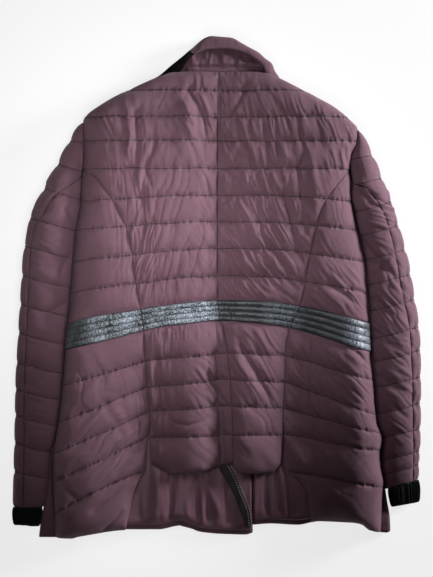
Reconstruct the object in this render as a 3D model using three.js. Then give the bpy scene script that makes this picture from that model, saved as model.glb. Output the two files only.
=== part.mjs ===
// A woman's quilted jacket, laid flat with its back up: three-piece back above and below a
// shirred waist band, two fronts under it, two-piece sleeves with ribbed cuffs, a turned-down
// collar. Millimetres, +X across the back, +Y towards the collar, +Z up. The origin is the
// middle of the outline, on the surface that the jacket lies on.
import * as THREE from 'three';

// ---- driving dimensions -----------------------------------------------------------------
const WALL = 7;            // padded shell: two cloths and the wadding between them
const PUFF = 4;            // rise of a quilted channel above its two rows of stitching
const FRONT_T = 11;        // a front, pressed under the back
const LINING_T = 1.2;      // satin lining
const BAND_T = 4;          // shirred waist band
const CUFF_T = 3.5;        // doubled rib knit
const LAY = 0.4;           // room between two layers that lie on each other
const SEAM = 0.15;         // half of the gap between two sewn pieces
const EDGE_H = 20;         // height of the body along its side edges
const SLEEVE_WALL = 6;
const BASE = FRONT_T + LINING_T + 2 * LAY;   // what the back lies on
const COLOURS = {
  plum: { color: 0x73555f, roughness: 0.62, metalness: 0 },
  satin: { color: 0x66475a, roughness: 0.42, metalness: 0 },
  band: { color: 0x2c3236, roughness: 0.35, metalness: 0 },
  rib: { color: 0x121618, roughness: 0.95, metalness: 0 },
  tape: { color: 0x1c181b, roughness: 0.8, metalness: 0 },
};

// ---- the back's outline and its three long seams, a row per station down the back ----------
const BODY = [
  { y: 329, edgeL: -59, princessL: -59, centre: 3, princessR: 75, edgeR: 75 },
  { y: 316, edgeL: -97, princessL: -97, centre: 3, princessR: 100, edgeR: 100 },
  { y: 301, edgeL: -132, princessL: -132, centre: 3, princessR: 132, edgeR: 132 },
  { y: 288, edgeL: -160, princessL: -160, centre: 3, princessR: 157, edgeR: 157 },
  { y: 276, edgeL: -180, princessL: -180, centre: 3, princessR: 179, edgeR: 179 },
  { y: 264, edgeL: -196, princessL: -196, centre: 3, princessR: 195, edgeR: 195 },
  { y: 253, edgeL: -203, princessL: -203, centre: 2.5, princessR: 207, edgeR: 207 },
  { y: 242, edgeL: -203, princessL: -203, centre: 2.5, princessR: 216, edgeR: 216 },
  { y: 222, edgeL: -203, princessL: -203, centre: 2.5, princessR: 215, edgeR: 215 },
  { y: 204, edgeL: -203, princessL: -203, centre: 2.5, princessR: 208, edgeR: 208 },
  { y: 183, edgeL: -203, princessL: -203, centre: 2.5, princessR: 204.5, edgeR: 204.6 },
  { y: 165, edgeL: -204, princessL: -182, centre: 2.5, princessR: 192, edgeR: 204.8 },
  { y: 150, edgeL: -206, princessL: -169, centre: 2.5, princessR: 179, edgeR: 205 },
  { y: 133, edgeL: -207, princessL: -157, centre: 2.5, princessR: 167, edgeR: 208 },
  { y: 116, edgeL: -209, princessL: -148, centre: 2.5, princessR: 159, edgeR: 211 },
  { y: 99, edgeL: -213, princessL: -140, centre: 2.5, princessR: 154, edgeR: 215 },
  { y: 77, edgeL: -216, princessL: -132, centre: 2.5, princessR: 149, edgeR: 220 },
  { y: 34, edgeL: -220, princessL: -125, centre: 2.5, princessR: 140, edgeR: 229 },
  { y: 11, edgeL: -222, princessL: -122, centre: 3, princessR: 136, edgeR: 231 },
  { y: -23, edgeL: -225, princessL: -116, centre: 3, princessR: 130, edgeR: 234 },
  { y: -44, edgeL: -227, princessL: -112, centre: 5, princessR: 120, edgeR: 234.5 },
  { y: -66, edgeL: -228, princessL: -110, centre: 12, princessR: 111, edgeR: 235 },
  { y: -97, edgeL: -231, princessL: -108, centre: 17, princessR: 106, edgeR: 236 },
  { y: -148, edgeL: -235, princessL: -105, centre: 22, princessR: 105, edgeR: 241 },
  { y: -205, edgeL: -241, princessL: -101, centre: 25, princessR: 102, edgeR: 246 },
  { y: -232, edgeL: -246, princessL: -105, centre: 25, princessR: 105, edgeR: 254 },
  { y: -254, edgeL: -249, princessL: -106, centre: 26, princessR: 108, edgeR: 251 },
  { y: -277, edgeL: -250, princessL: -107, centre: 26, princessR: 109, edgeR: 253 },
  { y: -297, edgeL: -250, princessL: -119, centre: 26, princessR: 128, edgeR: 256 },
  { y: -315, edgeL: -250, princessL: -126, centre: 26, princessR: 139, edgeR: 255 },
  { y: -343, edgeL: -248, princessL: -132, centre: 26, princessR: 144, edgeR: 254 },
  { y: -389, edgeL: -246, princessL: -142, centre: 26, princessR: 152, edgeR: 252 },
];
// where the short centre of the peplum hangs free of the side panels
const VENT = [
  { y: -205, backL: -101, backR: 102 },
  { y: -232, backL: -101, backR: 101 },
  { y: -254, backL: -100, backR: 100 },
  { y: -290, backL: -97, backR: 97 },
];
// the fronts stand out beyond the side seams near the hem
const FRONT_EDGE = [
  { y: -225, left: -245, right: 252 },
  { y: -235, left: -247, right: 256 },
  { y: -254, left: -255, right: 253 },
  { y: -271, left: -256, right: 254 },
  { y: -294, left: -258, right: 258 },
  { y: -328, left: -263, right: 263 },
  { y: -351, left: -268, right: 267 },
  { y: -388, left: -273, right: 269 },
];
const FRONT_MEET = [
  { y: -390, x: 56.5 }, { y: -255, x: 56.5 }, { y: -150, x: 30 }, { y: 0, x: 3 }, { y: 330, x: 3 },
];
const BAND = [
  { x: -235, top: -59, bottom: -97 }, { x: -228, top: -57, bottom: -95 }, { x: -194, top: -46, bottom: -87 },
  { x: -156, top: -40, bottom: -78 }, { x: -117, top: -34, bottom: -68 }, { x: -79, top: -28, bottom: -59 },
  { x: -40, top: -23, bottom: -55 }, { x: 3, top: -20, bottom: -51 }, { x: 52, top: -20.5, bottom: -54 },
  { x: 91, top: -23, bottom: -58 }, { x: 129, top: -29, bottom: -66 }, { x: 168, top: -37, bottom: -78 },
  { x: 206, top: -47, bottom: -90 }, { x: 240, top: -56, bottom: -99 },
];
const HEM_FRONT_L = [
  { x: -275, y: -384 }, { x: -220, y: -384 }, { x: -209, y: -381 }, { x: -136, y: -372 }, { x: -88, y: -372 },
  { x: -54, y: -366 }, { x: -23, y: -376 }, { x: 8, y: -379 }, { x: 45, y: -380 }, { x: 57, y: -377 },
];
const HEM_FRONT_R = [
  { x: 57, y: -365 }, { x: 83, y: -363 }, { x: 125, y: -365 }, { x: 160, y: -359 }, { x: 206, y: -359 },
  { x: 220, y: -361 }, { x: 234, y: -371 }, { x: 262, y: -377 }, { x: 270, y: -374 },
];
const HEM_BACK_L = [
  { x: -105, y: -268 }, { x: -92, y: -274 }, { x: -65, y: -285 }, { x: -43, y: -282 }, { x: -3, y: -277 }, { x: 26, y: -268 },
];
const HEM_BACK_R = [
  { x: 24, y: -268 }, { x: 32, y: -280 }, { x: 60, y: -284 }, { x: 84, y: -283 }, { x: 96, y: -274 }, { x: 102, y: -262 },
];
// rows of quilting above the waist, at the centre back, and how far each follows the band's dip
const QUILT_UPPER = [
  { y: -20, dip: 1 }, { y: 17, dip: 0.8 }, { y: 59, dip: 0.65 }, { y: 100, dip: 0.45 }, { y: 140, dip: 0.35 },
  { y: 180.4, dip: 0.05 }, { y: 222, dip: 0 }, { y: 259, dip: 0 }, { y: 299, dip: 0 }, { y: 328.2, dip: 0 },
];
// rows of quilting below the waist, at each long seam
const QUILT_LOWER = [
  { edgeL: -150, princessL: -112, centre: -100, princessR: -104, edgeR: -141 },
  { edgeL: -206, princessL: -152, centre: -140, princessR: -144, edgeR: -194 },
  { edgeL: -254, princessL: -189, centre: -180, princessR: -184, edgeR: -222 },
  { edgeL: -298, princessL: -229, centre: -225, princessR: -225, edgeR: -249 },
];
const QUILT_SIDE_END = [{ edgeL: -345, princessL: -280, princessR: -282, edgeR: -305 }];
const CROWN = [   // height of the body along its middle
  { y: 329, mid: 24 }, { y: 300, mid: 31 }, { y: 250, mid: 38 }, { y: 150, mid: 42 }, { y: 20, mid: 42 },
  { y: -18, mid: 37 }, { y: -38, mid: 35 }, { y: -58, mid: 36 }, { y: -95, mid: 41 }, { y: -230, mid: 40 }, { y: -390, mid: 25 },
];
// the largest folds: a line, its half width, and its rise (a ridge) or fall (a trough)
const FOLDS = [
  { x0: 106, y0: -80, x1: 118, y1: -350, half: 34, rise: -15 },
  { x0: 8, y0: -150, x1: 12, y1: -290, half: 8, rise: -7 },
  { x0: 30, y0: -65, x1: 98, y1: -200, half: 9, rise: -5 },
  { x0: 48, y0: -75, x1: 78, y1: -160, half: 16, rise: 3 },
  { x0: -100, y0: -170, x1: -125, y1: -340, half: 24, rise: -10 },
  { x0: -124, y0: 280, x1: -116, y1: 168, half: 10, rise: -4 },
  { x0: -90, y0: 230, x1: -112, y1: 60, half: 12, rise: -4 },
  { x0: -42, y0: 315, x1: -18, y1: 150, half: 14, rise: -4 },
  { x0: -55, y0: 280, x1: -40, y1: 130, half: 14, rise: 3 },
  { x0: 140, y0: 215, x1: 128, y1: 70, half: 9, rise: -4 },
  { x0: 80, y0: 10, x1: 124, y1: -26, half: 8, rise: -4 },
  { x0: 60, y0: 60, x1: 100, y1: 20, half: 8, rise: -3 },
  { x0: 152, y0: -5, x1: 185, y1: -38, half: 10, rise: -3 },
  { x0: 190, y0: -120, x1: 222, y1: -190, half: 12, rise: -3 },
];
// sleeves: outline, the seam that shows on top, and height, a row per station
const SLEEVE_L = [
  { y: 248, outer: -211, seam: -204.5, high: 18 }, { y: 239, outer: -216, seam: -204.5, high: 21 },
  { y: 227, outer: -222, seam: -204.5, high: 25 }, { y: 202, outer: -236, seam: -204.5, high: 31 },
  { y: 177, outer: -249, seam: -205, high: 35 }, { y: 165, outer: -257, seam: -213, high: 37 },
  { y: 150, outer: -264, seam: -231, high: 38 }, { y: 137, outer: -272, seam: -245, high: 40 },
  { y: 122, outer: -279, seam: -256, high: 41 }, { y: 105, outer: -286, seam: -265, high: 41 },
  { y: 79, outer: -290, seam: -279, high: 41 }, { y: 57, outer: -295, seam: -283, high: 41 },
  { y: -20, outer: -300, seam: -287, high: 40 }, { y: -81, outer: -304, seam: -290, high: 38 },
  { y: -143, outer: -308, seam: -293, high: 36 }, { y: -205, outer: -309, seam: -294, high: 34 },
  { y: -254, outer: -310, seam: -294, high: 31 }, { y: -297, outer: -311, seam: -295, high: 28 },
  { y: -340, outer: -312, seam: -296, high: 23 },
];
const SLEEVE_R = [
  { y: 237, outer: 224, seam: 218, high: 18 }, { y: 227, outer: 227, seam: 217, high: 21 },
  { y: 214, outer: 234, seam: 214, high: 25 }, { y: 202, outer: 240, seam: 210, high: 28 },
  { y: 185, outer: 247, seam: 206, high: 33 }, { y: 165, outer: 256, seam: 209, high: 36 },
  { y: 151, outer: 261, seam: 229, high: 38 }, { y: 133, outer: 268, seam: 242, high: 40 },
  { y: 114, outer: 274, seam: 253, high: 41 }, { y: 102, outer: 278, seam: 258, high: 41 },
  { y: 77, outer: 285, seam: 266, high: 41 }, { y: 39, outer: 295, seam: 274, high: 41 },
  { y: 11, outer: 300, seam: 279, high: 41 }, { y: -20, outer: 305, seam: 285, high: 40 },
  { y: -57, outer: 311, seam: 293, high: 40 }, { y: -98, outer: 314, seam: 297, high: 38 },
  { y: -192, outer: 314, seam: 300, high: 36 }, { y: -254, outer: 313, seam: 301, high: 32 },
  { y: -279, outer: 312, seam: 301, high: 30 }, { y: -315, outer: 311, seam: 300, high: 25 },
];
const QUILT_SLEEVE_L = { tilt: 0.25, cuffTilt: 0, from: 247, rows: [222, 182, 142, 96, 53, 8, -36, -79, -124, -165, -205, -246, -288], to: -336.6 };
const QUILT_SLEEVE_R = { tilt: 0.25, cuffTilt: 0.33, from: 236, rows: [198, 160, 122, 86, 49, 11, -28, -70, -106, -145, -186, -223, -257, -279], to: -301 };
// the collar's turned-down part: its outer edge and the edge that lies on the stand
const COLLAR = [
  { outX: -98, outY: 318.4, inX: -95, inY: 317.6 }, { outX: -86, outY: 325, inX: -80, inY: 323 },
  { outX: -68, outY: 341, inX: -56, inY: 332 }, { outX: -55, outY: 350, inX: -44, inY: 345 },
  { outX: -40, outY: 363, inX: -36, inY: 357 }, { outX: -26, outY: 374, inX: -25, inY: 363 },
  { outX: -17, outY: 381, inX: -15, inY: 365 }, { outX: -8, outY: 384, inX: -6, inY: 366 },
  { outX: 12, outY: 382, inX: 12, inY: 366 }, { outX: 26, outY: 381, inX: 25, inY: 365 },
  { outX: 38, outY: 373, inX: 37, inY: 362 }, { outX: 54, outY: 364, inX: 51, inY: 357 },
  { outX: 66, outY: 358, inX: 62, inY: 350 }, { outX: 76, outY: 348, inX: 70, inY: 343 },
  { outX: 86, outY: 341, inX: 77, inY: 336 }, { outX: 89, outY: 331, inX: 80, inY: 330 },
  { outX: 96, outY: 321, inX: 85, inY: 327 },
];
const ZIP = [
  { y: -258, tape: -6, teeth: 15 }, { y: -284, tape: 8, teeth: 30 }, { y: -313, tape: 25, teeth: 42 },
  { y: -345, tape: 38, teeth: 54 }, { y: -358, tape: 43, teeth: 55.6 }, { y: -373, tape: 45, teeth: 56 },
];

// ---- helpers ------------------------------------------------------------------------------
const lerp = (a, b, t) => a + (b - a) * t;
const clamp = (v, a, b) => Math.max(a, Math.min(b, v));

/** A monotone cubic through a table's column, by another column. */
function smooth(table, key, at = 'y') {
  const rows = [...table].sort((a, b) => a[at] - b[at]);
  const n = rows.length;
  const x = rows.map((r) => r[at]);
  const v = rows.map((r) => r[key]);
  const d = [];
  for (let i = 0; i < n - 1; i++) d.push((v[i + 1] - v[i]) / (x[i + 1] - x[i]));
  const m = v.map((_, i) => {
    if (i === 0) return d[0];
    if (i === n - 1) return d[n - 2];
    return d[i - 1] * d[i] <= 0 ? 0 : (2 * d[i - 1] * d[i]) / (d[i - 1] + d[i]);
  });
  return (t) => {
    if (t <= x[0]) return v[0];
    if (t >= x[n - 1]) return v[n - 1];
    let i = 0;
    while (t > x[i + 1]) i++;
    const h = x[i + 1] - x[i];
    const s = (t - x[i]) / h;
    const a = 2 * s ** 3 - 3 * s ** 2 + 1;
    const b = s ** 3 - 2 * s ** 2 + s;
    return a * v[i] + b * h * m[i] + (1 - a) * v[i + 1] + (s ** 3 - s ** 2) * h * m[i + 1];
  };
}
const edgeL = smooth(BODY, 'edgeL');
const edgeR = smooth(BODY, 'edgeR');
const princessL = smooth(BODY, 'princessL');
const princessR = smooth(BODY, 'princessR');
const centre = smooth(BODY, 'centre');
const ventL = smooth(VENT, 'backL');
const ventR = smooth(VENT, 'backR');
const frontEdgeL = smooth(FRONT_EDGE, 'left');
const frontEdgeR = smooth(FRONT_EDGE, 'right');
const outlineL = (y) => (y > -225 ? edgeL(y) : Math.min(edgeL(y), frontEdgeL(y)));
const outlineR = (y) => (y > -225 ? edgeR(y) : Math.max(edgeR(y), frontEdgeR(y)));
const meet = smooth(FRONT_MEET, 'x');
const bandTop = smooth(BAND, 'top', 'x');
const bandBottom = smooth(BAND, 'bottom', 'x');
const crown = smooth(CROWN, 'mid');

/** Seam gap at a sloping seam, measured along x. */
const gapAlongX = (curve, y) => SEAM * Math.hypot(1, (curve(y + 1) - curve(y - 1)) / 2);

/** The height y at which a curve y(x) crosses the place u between two side curves x(y). */
const along = (curve, left, right, start) => (u) => {
  let y = start;
  for (let k = 0; k < 12; k++) y = curve(lerp(left(y), right(y), u));
  return y;
};

/** Height of the back over the surface, without the rise of the channels. */
function bodyHeight(x, y) {
  const l = edgeL(y);
  const r = edgeR(y);
  const s = clamp(Math.abs(x - (l + r) / 2) / ((r - l) / 2), 0, 1);
  let z = EDGE_H + (crown(y) - EDGE_H) * (1 - s ** 3) ** 0.7;
  for (const f of FOLDS) {
    const dx = f.x1 - f.x0;
    const dy = f.y1 - f.y0;
    const t = clamp(((x - f.x0) * dx + (y - f.y0) * dy) / (dx * dx + dy * dy), 0, 1);
    const d = Math.hypot(x - f.x0 - t * dx, y - f.y0 - t * dy);
    z += f.rise * Math.exp(-((d / f.half) ** 2));
  }
  return Math.max(z, BASE + 4.5);
}

/** A closed wall between two grids of points; top[i][j] runs +Y with i and +X with j. */
function wall(top, under) {
  const m = top.length;
  const n = top[0].length;
  const points = [];
  for (const grid of [top, under]) for (const row of grid) for (const p of row) points.push(...p);
  const a = (i, j) => i * n + j;
  const b = (i, j) => m * n + i * n + j;
  const faces = [];
  const quad = (p, q, r, s) => faces.push(p, q, r, p, r, s);
  for (let i = 0; i < m - 1; i++) {
    for (let j = 0; j < n - 1; j++) {
      quad(a(i, j), a(i, j + 1), a(i + 1, j + 1), a(i + 1, j));
      quad(b(i, j), b(i + 1, j), b(i + 1, j + 1), b(i, j + 1));
    }
    quad(a(i, 0), a(i + 1, 0), b(i + 1, 0), b(i, 0));
    quad(a(i, n - 1), b(i, n - 1), b(i + 1, n - 1), a(i + 1, n - 1));
  }
  for (let j = 0; j < n - 1; j++) {
    quad(a(0, j), b(0, j), b(0, j + 1), a(0, j + 1));
    quad(a(m - 1, j), a(m - 1, j + 1), b(m - 1, j + 1), b(m - 1, j));
  }
  return geometry(points, faces);
}

/** A closed tube between two stacks of rings; outer[i][k] goes round with k. */
function tube(outer, inner) {
  const m = outer.length;
  const n = outer[0].length;
  const points = [];
  for (const grid of [outer, inner]) for (const row of grid) for (const p of row) points.push(...p);
  const a = (i, k) => i * n + (k % n);
  const b = (i, k) => m * n + i * n + (k % n);
  const faces = [];
  const quad = (p, q, r, s) => faces.push(p, q, r, p, r, s);
  for (let k = 0; k < n; k++) {
    for (let i = 0; i < m - 1; i++) {
      quad(a(i, k), a(i, k + 1), a(i + 1, k + 1), a(i + 1, k));
      quad(b(i, k), b(i + 1, k), b(i + 1, k + 1), b(i, k + 1));
    }
    quad(a(0, k), b(0, k), b(0, k + 1), a(0, k + 1));
    quad(a(m - 1, k), a(m - 1, k + 1), b(m - 1, k + 1), b(m - 1, k));
  }
  return geometry(points, faces);
}

function geometry(points, faces) {
  const g = new THREE.BufferGeometry();
  g.setAttribute('position', new THREE.Float32BufferAttribute(points, 3));
  let volume = 0;
  const p = (i) => new THREE.Vector3(points[3 * i], points[3 * i + 1], points[3 * i + 2]);
  for (let f = 0; f < faces.length; f += 3) {
    volume += p(faces[f]).dot(p(faces[f + 1]).cross(p(faces[f + 2]))) / 6;
  }
  if (volume < 0) for (let f = 0; f < faces.length; f += 3) [faces[f], faces[f + 1]] = [faces[f + 1], faces[f]];
  g.setIndex(faces);
  g.computeVertexNormals();
  return g;
}

const jacket = new THREE.Group();
function piece(name, shape, look) {
  const mesh = new THREE.Mesh(shape, new THREE.MeshStandardMaterial(COLOURS[look]));
  mesh.name = name;
  jacket.add(mesh);
}

/** Rows of quilting with a crest between each two: [{ at(u), puff }]. */
function withCrests(lines) {
  const rows = [];
  lines.forEach((line, k) => {
    if (k) {
      const before = lines[k - 1];
      rows.push({ at: (u) => (before(u) + line(u)) / 2, puff: 1 });
    }
    rows.push({ at: line, puff: 0 });
  });
  return rows;
}

/** A padded panel of the back between two seams. */
function backPanel(name, rows, cols, left, right, look = 'plum', thick = WALL) {
  const top = [];
  const under = [];
  for (const row of rows) {
    const a = [];
    const b = [];
    for (let j = 0; j <= cols; j++) {
      const u = j / cols;
      const y = row.at(u);
      const x = lerp(left(y) + gapAlongX(left, y), right(y) - gapAlongX(right, y), u);
      const z = bodyHeight(x, y);
      a.push([x, y, z + PUFF * row.puff]);
      b.push([x, y, Math.max(BASE, z - thick)]);
    }
    top.push(a);
    under.push(b);
  }
  piece(name, wall(top, under), look);
}

// ---- back above the waist -----------------------------------------------------------------
function upperLines(left, right, last) {
  return QUILT_UPPER.filter((q) => q.y <= last).map((q) => (u) => {
    const x = lerp(left(q.y), right(q.y), u);
    return q.y + (bandTop(x) - bandTop(3)) * q.dip;
  }).map((line, k) => (k ? line : along((x) => bandTop(x) + SEAM, left, right, -30)));
}
backPanel('back_centre_left', withCrests(upperLines(princessL, centre, 330)), 7, princessL, centre);
backPanel('back_centre_right', withCrests(upperLines(centre, princessR, 330)), 7, centre, princessR);
backPanel('back_side_left', withCrests(upperLines(edgeL, princessL, 181)), 6, edgeL, princessL);
backPanel('back_side_right', withCrests(upperLines(princessR, edgeR, 181)), 6, princessR, edgeR);

// ---- waist band, shirred, sewn in with the back's seams --------------------------------------
function bandPiece(name, cols, left, right) {
  const at = (k) => along((x) => lerp(bandBottom(x) + SEAM, bandTop(x) - SEAM, k), left, right, -50);
  backPanel(name, [0, 1 / 3, 2 / 3, 1].map((k) => ({ at: at(k), puff: 0 })), cols, left, right, 'band', BAND_T);
}
bandPiece('waist_band_side_left', 6, edgeL, princessL);
bandPiece('waist_band_centre_left', 7, princessL, centre);
bandPiece('waist_band_centre_right', 7, centre, princessR);
bandPiece('waist_band_side_right', 6, princessR, edgeR);

// ---- peplum -----------------------------------------------------------------------------------
function lowerLines(left, right, a, b, ends, hem) {
  const first = along((x) => bandBottom(x) - SEAM, left, right, -75);
  const between = [...QUILT_LOWER, ...ends].map((q) => (u) => lerp(q[a], q[b], u));
  return [first, ...between, along(hem, left, right, -320)];
}
const peplumL = (y) => (y < -205 ? ventL(y) : princessL(y));
const peplumR = (y) => (y < -205 ? ventR(y) : princessR(y));
const hemBackL = smooth(HEM_BACK_L, 'y', 'x');
const hemBackR = smooth(HEM_BACK_R, 'y', 'x');
const hemFrontL = smooth(HEM_FRONT_L, 'y', 'x');
const hemFrontR = smooth(HEM_FRONT_R, 'y', 'x');
backPanel('peplum_centre_left', withCrests(lowerLines(peplumL, centre, 'princessL', 'centre', [], hemBackL)), 7, peplumL, centre);
backPanel('peplum_centre_right', withCrests(lowerLines(centre, peplumR, 'centre', 'princessR', [], hemBackR)), 7, centre, peplumR);
backPanel('peplum_side_left', withCrests(lowerLines(edgeL, princessL, 'edgeL', 'princessL', QUILT_SIDE_END, (x) => hemFrontL(x) + 1)), 6, edgeL, princessL);
backPanel('peplum_side_right', withCrests(lowerLines(princessR, edgeR, 'princessR', 'edgeR', QUILT_SIDE_END, (x) => hemFrontR(x) + 1)), 6, princessR, edgeR);

// ---- fronts, face down under the back, with their satin lining ---------------------------------
const STATIONS = [-340, -315, -290, -255, -225, -190, -150, -90, -20, 60, 110, 150, 190, 225, 244, 258, 274, 292, 308];
function slab(name, left, right, hem, cols, z0, z1, look, yTop) {
  const first = along(hem, left, right, -370);
  const lines = [first, ...[...STATIONS, yTop].map((y) => () => y)];
  const grids = [z1, z0].map((z) => lines.map((line) => {
    const row = [];
    for (let j = 0; j <= cols; j++) {
      const u = j / cols;
      const y = line(u);
      row.push([lerp(left(y), right(y), u), y, z]);
    }
    return row;
  }));
  piece(name, wall(grids[0], grids[1]), look);
}
const INSET = 1.6;
slab('front_left', (y) => outlineL(y) + INSET, (y) => meet(y) - 0.3, hemFrontL, 7, 0, FRONT_T, 'plum', 322);
slab('front_right', (y) => meet(y) + 0.3, (y) => outlineR(y) - INSET, hemFrontR, 7, 0, FRONT_T, 'plum', 322);
const LINE_Z = FRONT_T + LAY;
slab('lining_left', (y) => edgeL(y) + 5, (y) => meet(y) - 2, (x) => hemFrontL(x) + 9, 7, LINE_Z, LINE_Z + LINING_T, 'satin', 318);
slab('lining_right', (y) => meet(y) + 2, (y) => edgeR(y) - 5, (x) => hemFrontR(x) + 9, 7, LINE_Z, LINE_Z + LINING_T, 'satin', 318);

// ---- zip tape on the left front, folded back over the lining ------------------------------------
{
  const tape = smooth(ZIP, 'tape');
  const teeth = smooth(ZIP, 'teeth');
  const rows = ZIP.map((r) => r.y).sort((a, b) => a - b).map((y) => Math.max(y, -367));
  const grid = (z) => rows.map((y) => [0, 1].map((u) => [lerp(tape(y), teeth(y) - 2.2, u), y, z]));
  piece('zip_tape', wall(grid(BASE + 1.6), grid(BASE)), 'tape');
}

// ---- collar: the stand, and the part that is turned down over it ---------------------------------
{
  const standTop = (t) => lerp(24, 18, t);
  const stand = COLLAR.slice(3, 15);
  const standGrid = (floor) => [0, 0.5, 1].map((t) => stand.map((c) => {
    const endX = lerp(c.inX, c.outX, 0.46);
    const endY = lerp(c.inY, c.outY, 0.46);
    return [lerp(clamp(c.inX, -52, 74), endX, t), lerp(329.4, endY, t), floor ? 0.6 : standTop(t)];
  }));
  piece('collar_stand', wall(standGrid(false), standGrid(true)), 'plum');
  const LIE = 18;
  const across = [
    { t: 0, top: 10.5, under: 3.2 }, { t: 0.5, top: 9, under: 1.9 },
    { t: 0.6, top: 7, under: -LIE }, { t: 0.85, top: 1, under: -LIE }, { t: 1, top: -7, under: -LIE },
  ];
  const fallGrid = (key) => across.map((a) => COLLAR.map((c) => (
    [lerp(c.inX, c.outX, a.t), lerp(c.inY, c.outY, a.t), LIE + a[key]]
  )));
  piece('collar_fall', wall(fallGrid('top'), fallGrid('under')), 'plum');
}

// ---- sleeves ---------------------------------------------------------------------------------------
function sleeve(side, table, quilt) {
  const dir = side === 'left' ? -1 : 1;
  const outline = side === 'left' ? outlineL : outlineR;
  const inner = (y) => outline(y) + dir * 1.3;
  const outer = smooth(table, 'outer');
  const seam = smooth(table, 'seam');
  const high = smooth(table, 'high');
  const lines = [quilt.from, ...quilt.rows, quilt.to];
  const rows = [];
  lines.forEach((y, k) => {
    if (k) rows.push({ y: (y + lines[k - 1]) / 2, puff: 1 });
    rows.push({ y, puff: 0 });
  });
  rows.reverse();   // from the cuff up
  const topAt = (t, h) => 7 + (h - 7) * (1 - Math.abs(2 * t - 1) ** 3) ** 0.6;
  const place = (row, t, z, w, inside) => {
    const width = Math.abs(outer(row.y) - inner(row.y));
    const tilt = lerp(quilt.cuffTilt, quilt.tilt, clamp((row.y - quilt.to) / 60, 0, 1)) * clamp((quilt.from - row.y) / 60, 0, 1);
    const y = row.y + tilt * width * (t - 0.5);
    const a = inner(y) + dir * (inside ? w : 0);
    const b = outer(y) + dir * (inside ? -w : 1.2 * row.puff);
    return [lerp(a, b, t), y, z];
  };
  const grids = (list) => {
    const out = [];
    const into = [];
    for (const row of rows) {
      const width = Math.abs(outer(row.y) - inner(row.y));
      const w = Math.min(SLEEVE_WALL, 0.2 * width);
      const h = high(row.y);
      const ts = clamp((seam(row.y) - inner(row.y)) / (outer(row.y) - inner(row.y)), 0.03, 0.9);
      const a = [];
      const b = [];
      for (const c of list(ts, h, w)) {
        a.push(place(row, c.t, c.floor ? 0 : (c.z ?? topAt(c.t, h)) + (c.z ? 0 : PUFF * row.puff * Math.min(1, width / 40)), w, false));
        b.push(place(row, c.t, c.floor ? w : Math.max(w + 1.4, (c.z ?? topAt(c.t, h)) - w), w, true));
      }
      out.push(a);
      into.push(b);
    }
    return [out, into];
  };
  // the top sleeve lies on the surface, turns up round the outer edge and comes back to the seam
  const [topOut, topIn] = grids((ts, h, w) => [
    { t: 0, floor: true }, { t: 0.5, floor: true }, { t: 0.94, floor: true }, { t: 1, z: 0.3 * h },
    { t: 0.975 }, { t: 0.935 }, { t: lerp(0.935, ts, 0.5) }, { t: ts },
  ]);
  piece(`sleeve_top_${side}`, wall(topOut, topIn), 'plum');
  // the under sleeve closes the side that faces the body
  const first = rows.findIndex((r) => Math.abs(seam(r.y) - inner(r.y)) < 2.5);
  const kept = first < 0 ? rows.length : first + 1;
  const [underOut, underIn] = grids((ts) => [
    { t: ts - 0.008 }, { t: ts * 0.78 }, { t: ts * 0.52 }, { t: ts * 0.28 }, { t: ts * 0.1 }, { t: 0 },
  ]);
  piece(`sleeve_under_${side}`, wall(underOut.slice(0, kept), underIn.slice(0, kept)), 'plum');
}
sleeve('left', SLEEVE_L, QUILT_SLEEVE_L);
sleeve('right', SLEEVE_R, QUILT_SLEEVE_R);

// ---- ribbed cuffs, open at both ends ------------------------------------------------------------------
function cuff(side, rows) {
  const n = 14;
  const ring = (r, w) => {
    const pts = [];
    for (let k = 0; k < n; k++) {
      const a = (2 * Math.PI * k) / n;
      const cx = Math.cos(a);
      const sz = Math.sin(a);
      const half = Math.abs(r.outer - r.inner) / 2 - w;
      const x = (r.outer + r.inner) / 2 + half * Math.sign(cx) * Math.abs(cx) ** 0.6;
      const z = r.high / 2 + (r.high / 2 - w) * Math.sign(sz) * Math.abs(sz) ** 0.6;
      pts.push([x, lerp(r.yInner, r.yOuter, (x - r.inner) / (r.outer - r.inner)), z]);
    }
    return pts;
  };
  piece(`cuff_${side}`, tube(rows.map((r) => ring(r, 0)), rows.map((r) => ring(r, CUFF_T))), 'rib');
}
cuff('left', [
  { inner: -270.5, outer: -311.5, yInner: -337.2, yOuter: -337.2, high: 22 },
  { inner: -270.5, outer: -311, yInner: -352, yOuter: -351, high: 20 },
  { inner: -271.5, outer: -310, yInner: -365, yOuter: -364, high: 18 },
]);
cuff('right', [
  { inner: 266.5, outer: 311, yInner: -309.7, yOuter: -295, high: 22 },
  { inner: 267.5, outer: 312, yInner: -322, yOuter: -311, high: 20 },
  { inner: 269, outer: 312, yInner: -335, yOuter: -327, high: 18 },
]);

export default jacket;
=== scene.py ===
# Looks of a woman's quilted jacket that lies flat with its back up. Works in millimetres, in
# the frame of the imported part, and writes meshes in metres.
import math

import bpy
import numpy as np
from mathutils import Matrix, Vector


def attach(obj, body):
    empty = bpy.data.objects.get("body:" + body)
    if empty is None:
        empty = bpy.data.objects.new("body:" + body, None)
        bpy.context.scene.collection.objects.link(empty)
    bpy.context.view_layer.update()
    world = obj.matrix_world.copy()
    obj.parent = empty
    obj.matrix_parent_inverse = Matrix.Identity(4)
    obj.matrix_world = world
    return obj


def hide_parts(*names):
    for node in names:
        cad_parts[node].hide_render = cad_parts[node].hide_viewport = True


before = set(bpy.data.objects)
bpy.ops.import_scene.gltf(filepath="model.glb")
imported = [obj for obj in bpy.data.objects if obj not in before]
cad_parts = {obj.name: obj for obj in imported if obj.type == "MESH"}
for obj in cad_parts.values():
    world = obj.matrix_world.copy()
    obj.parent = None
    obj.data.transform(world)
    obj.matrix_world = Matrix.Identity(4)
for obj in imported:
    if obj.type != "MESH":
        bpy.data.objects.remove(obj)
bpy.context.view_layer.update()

MM = 0.001

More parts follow.
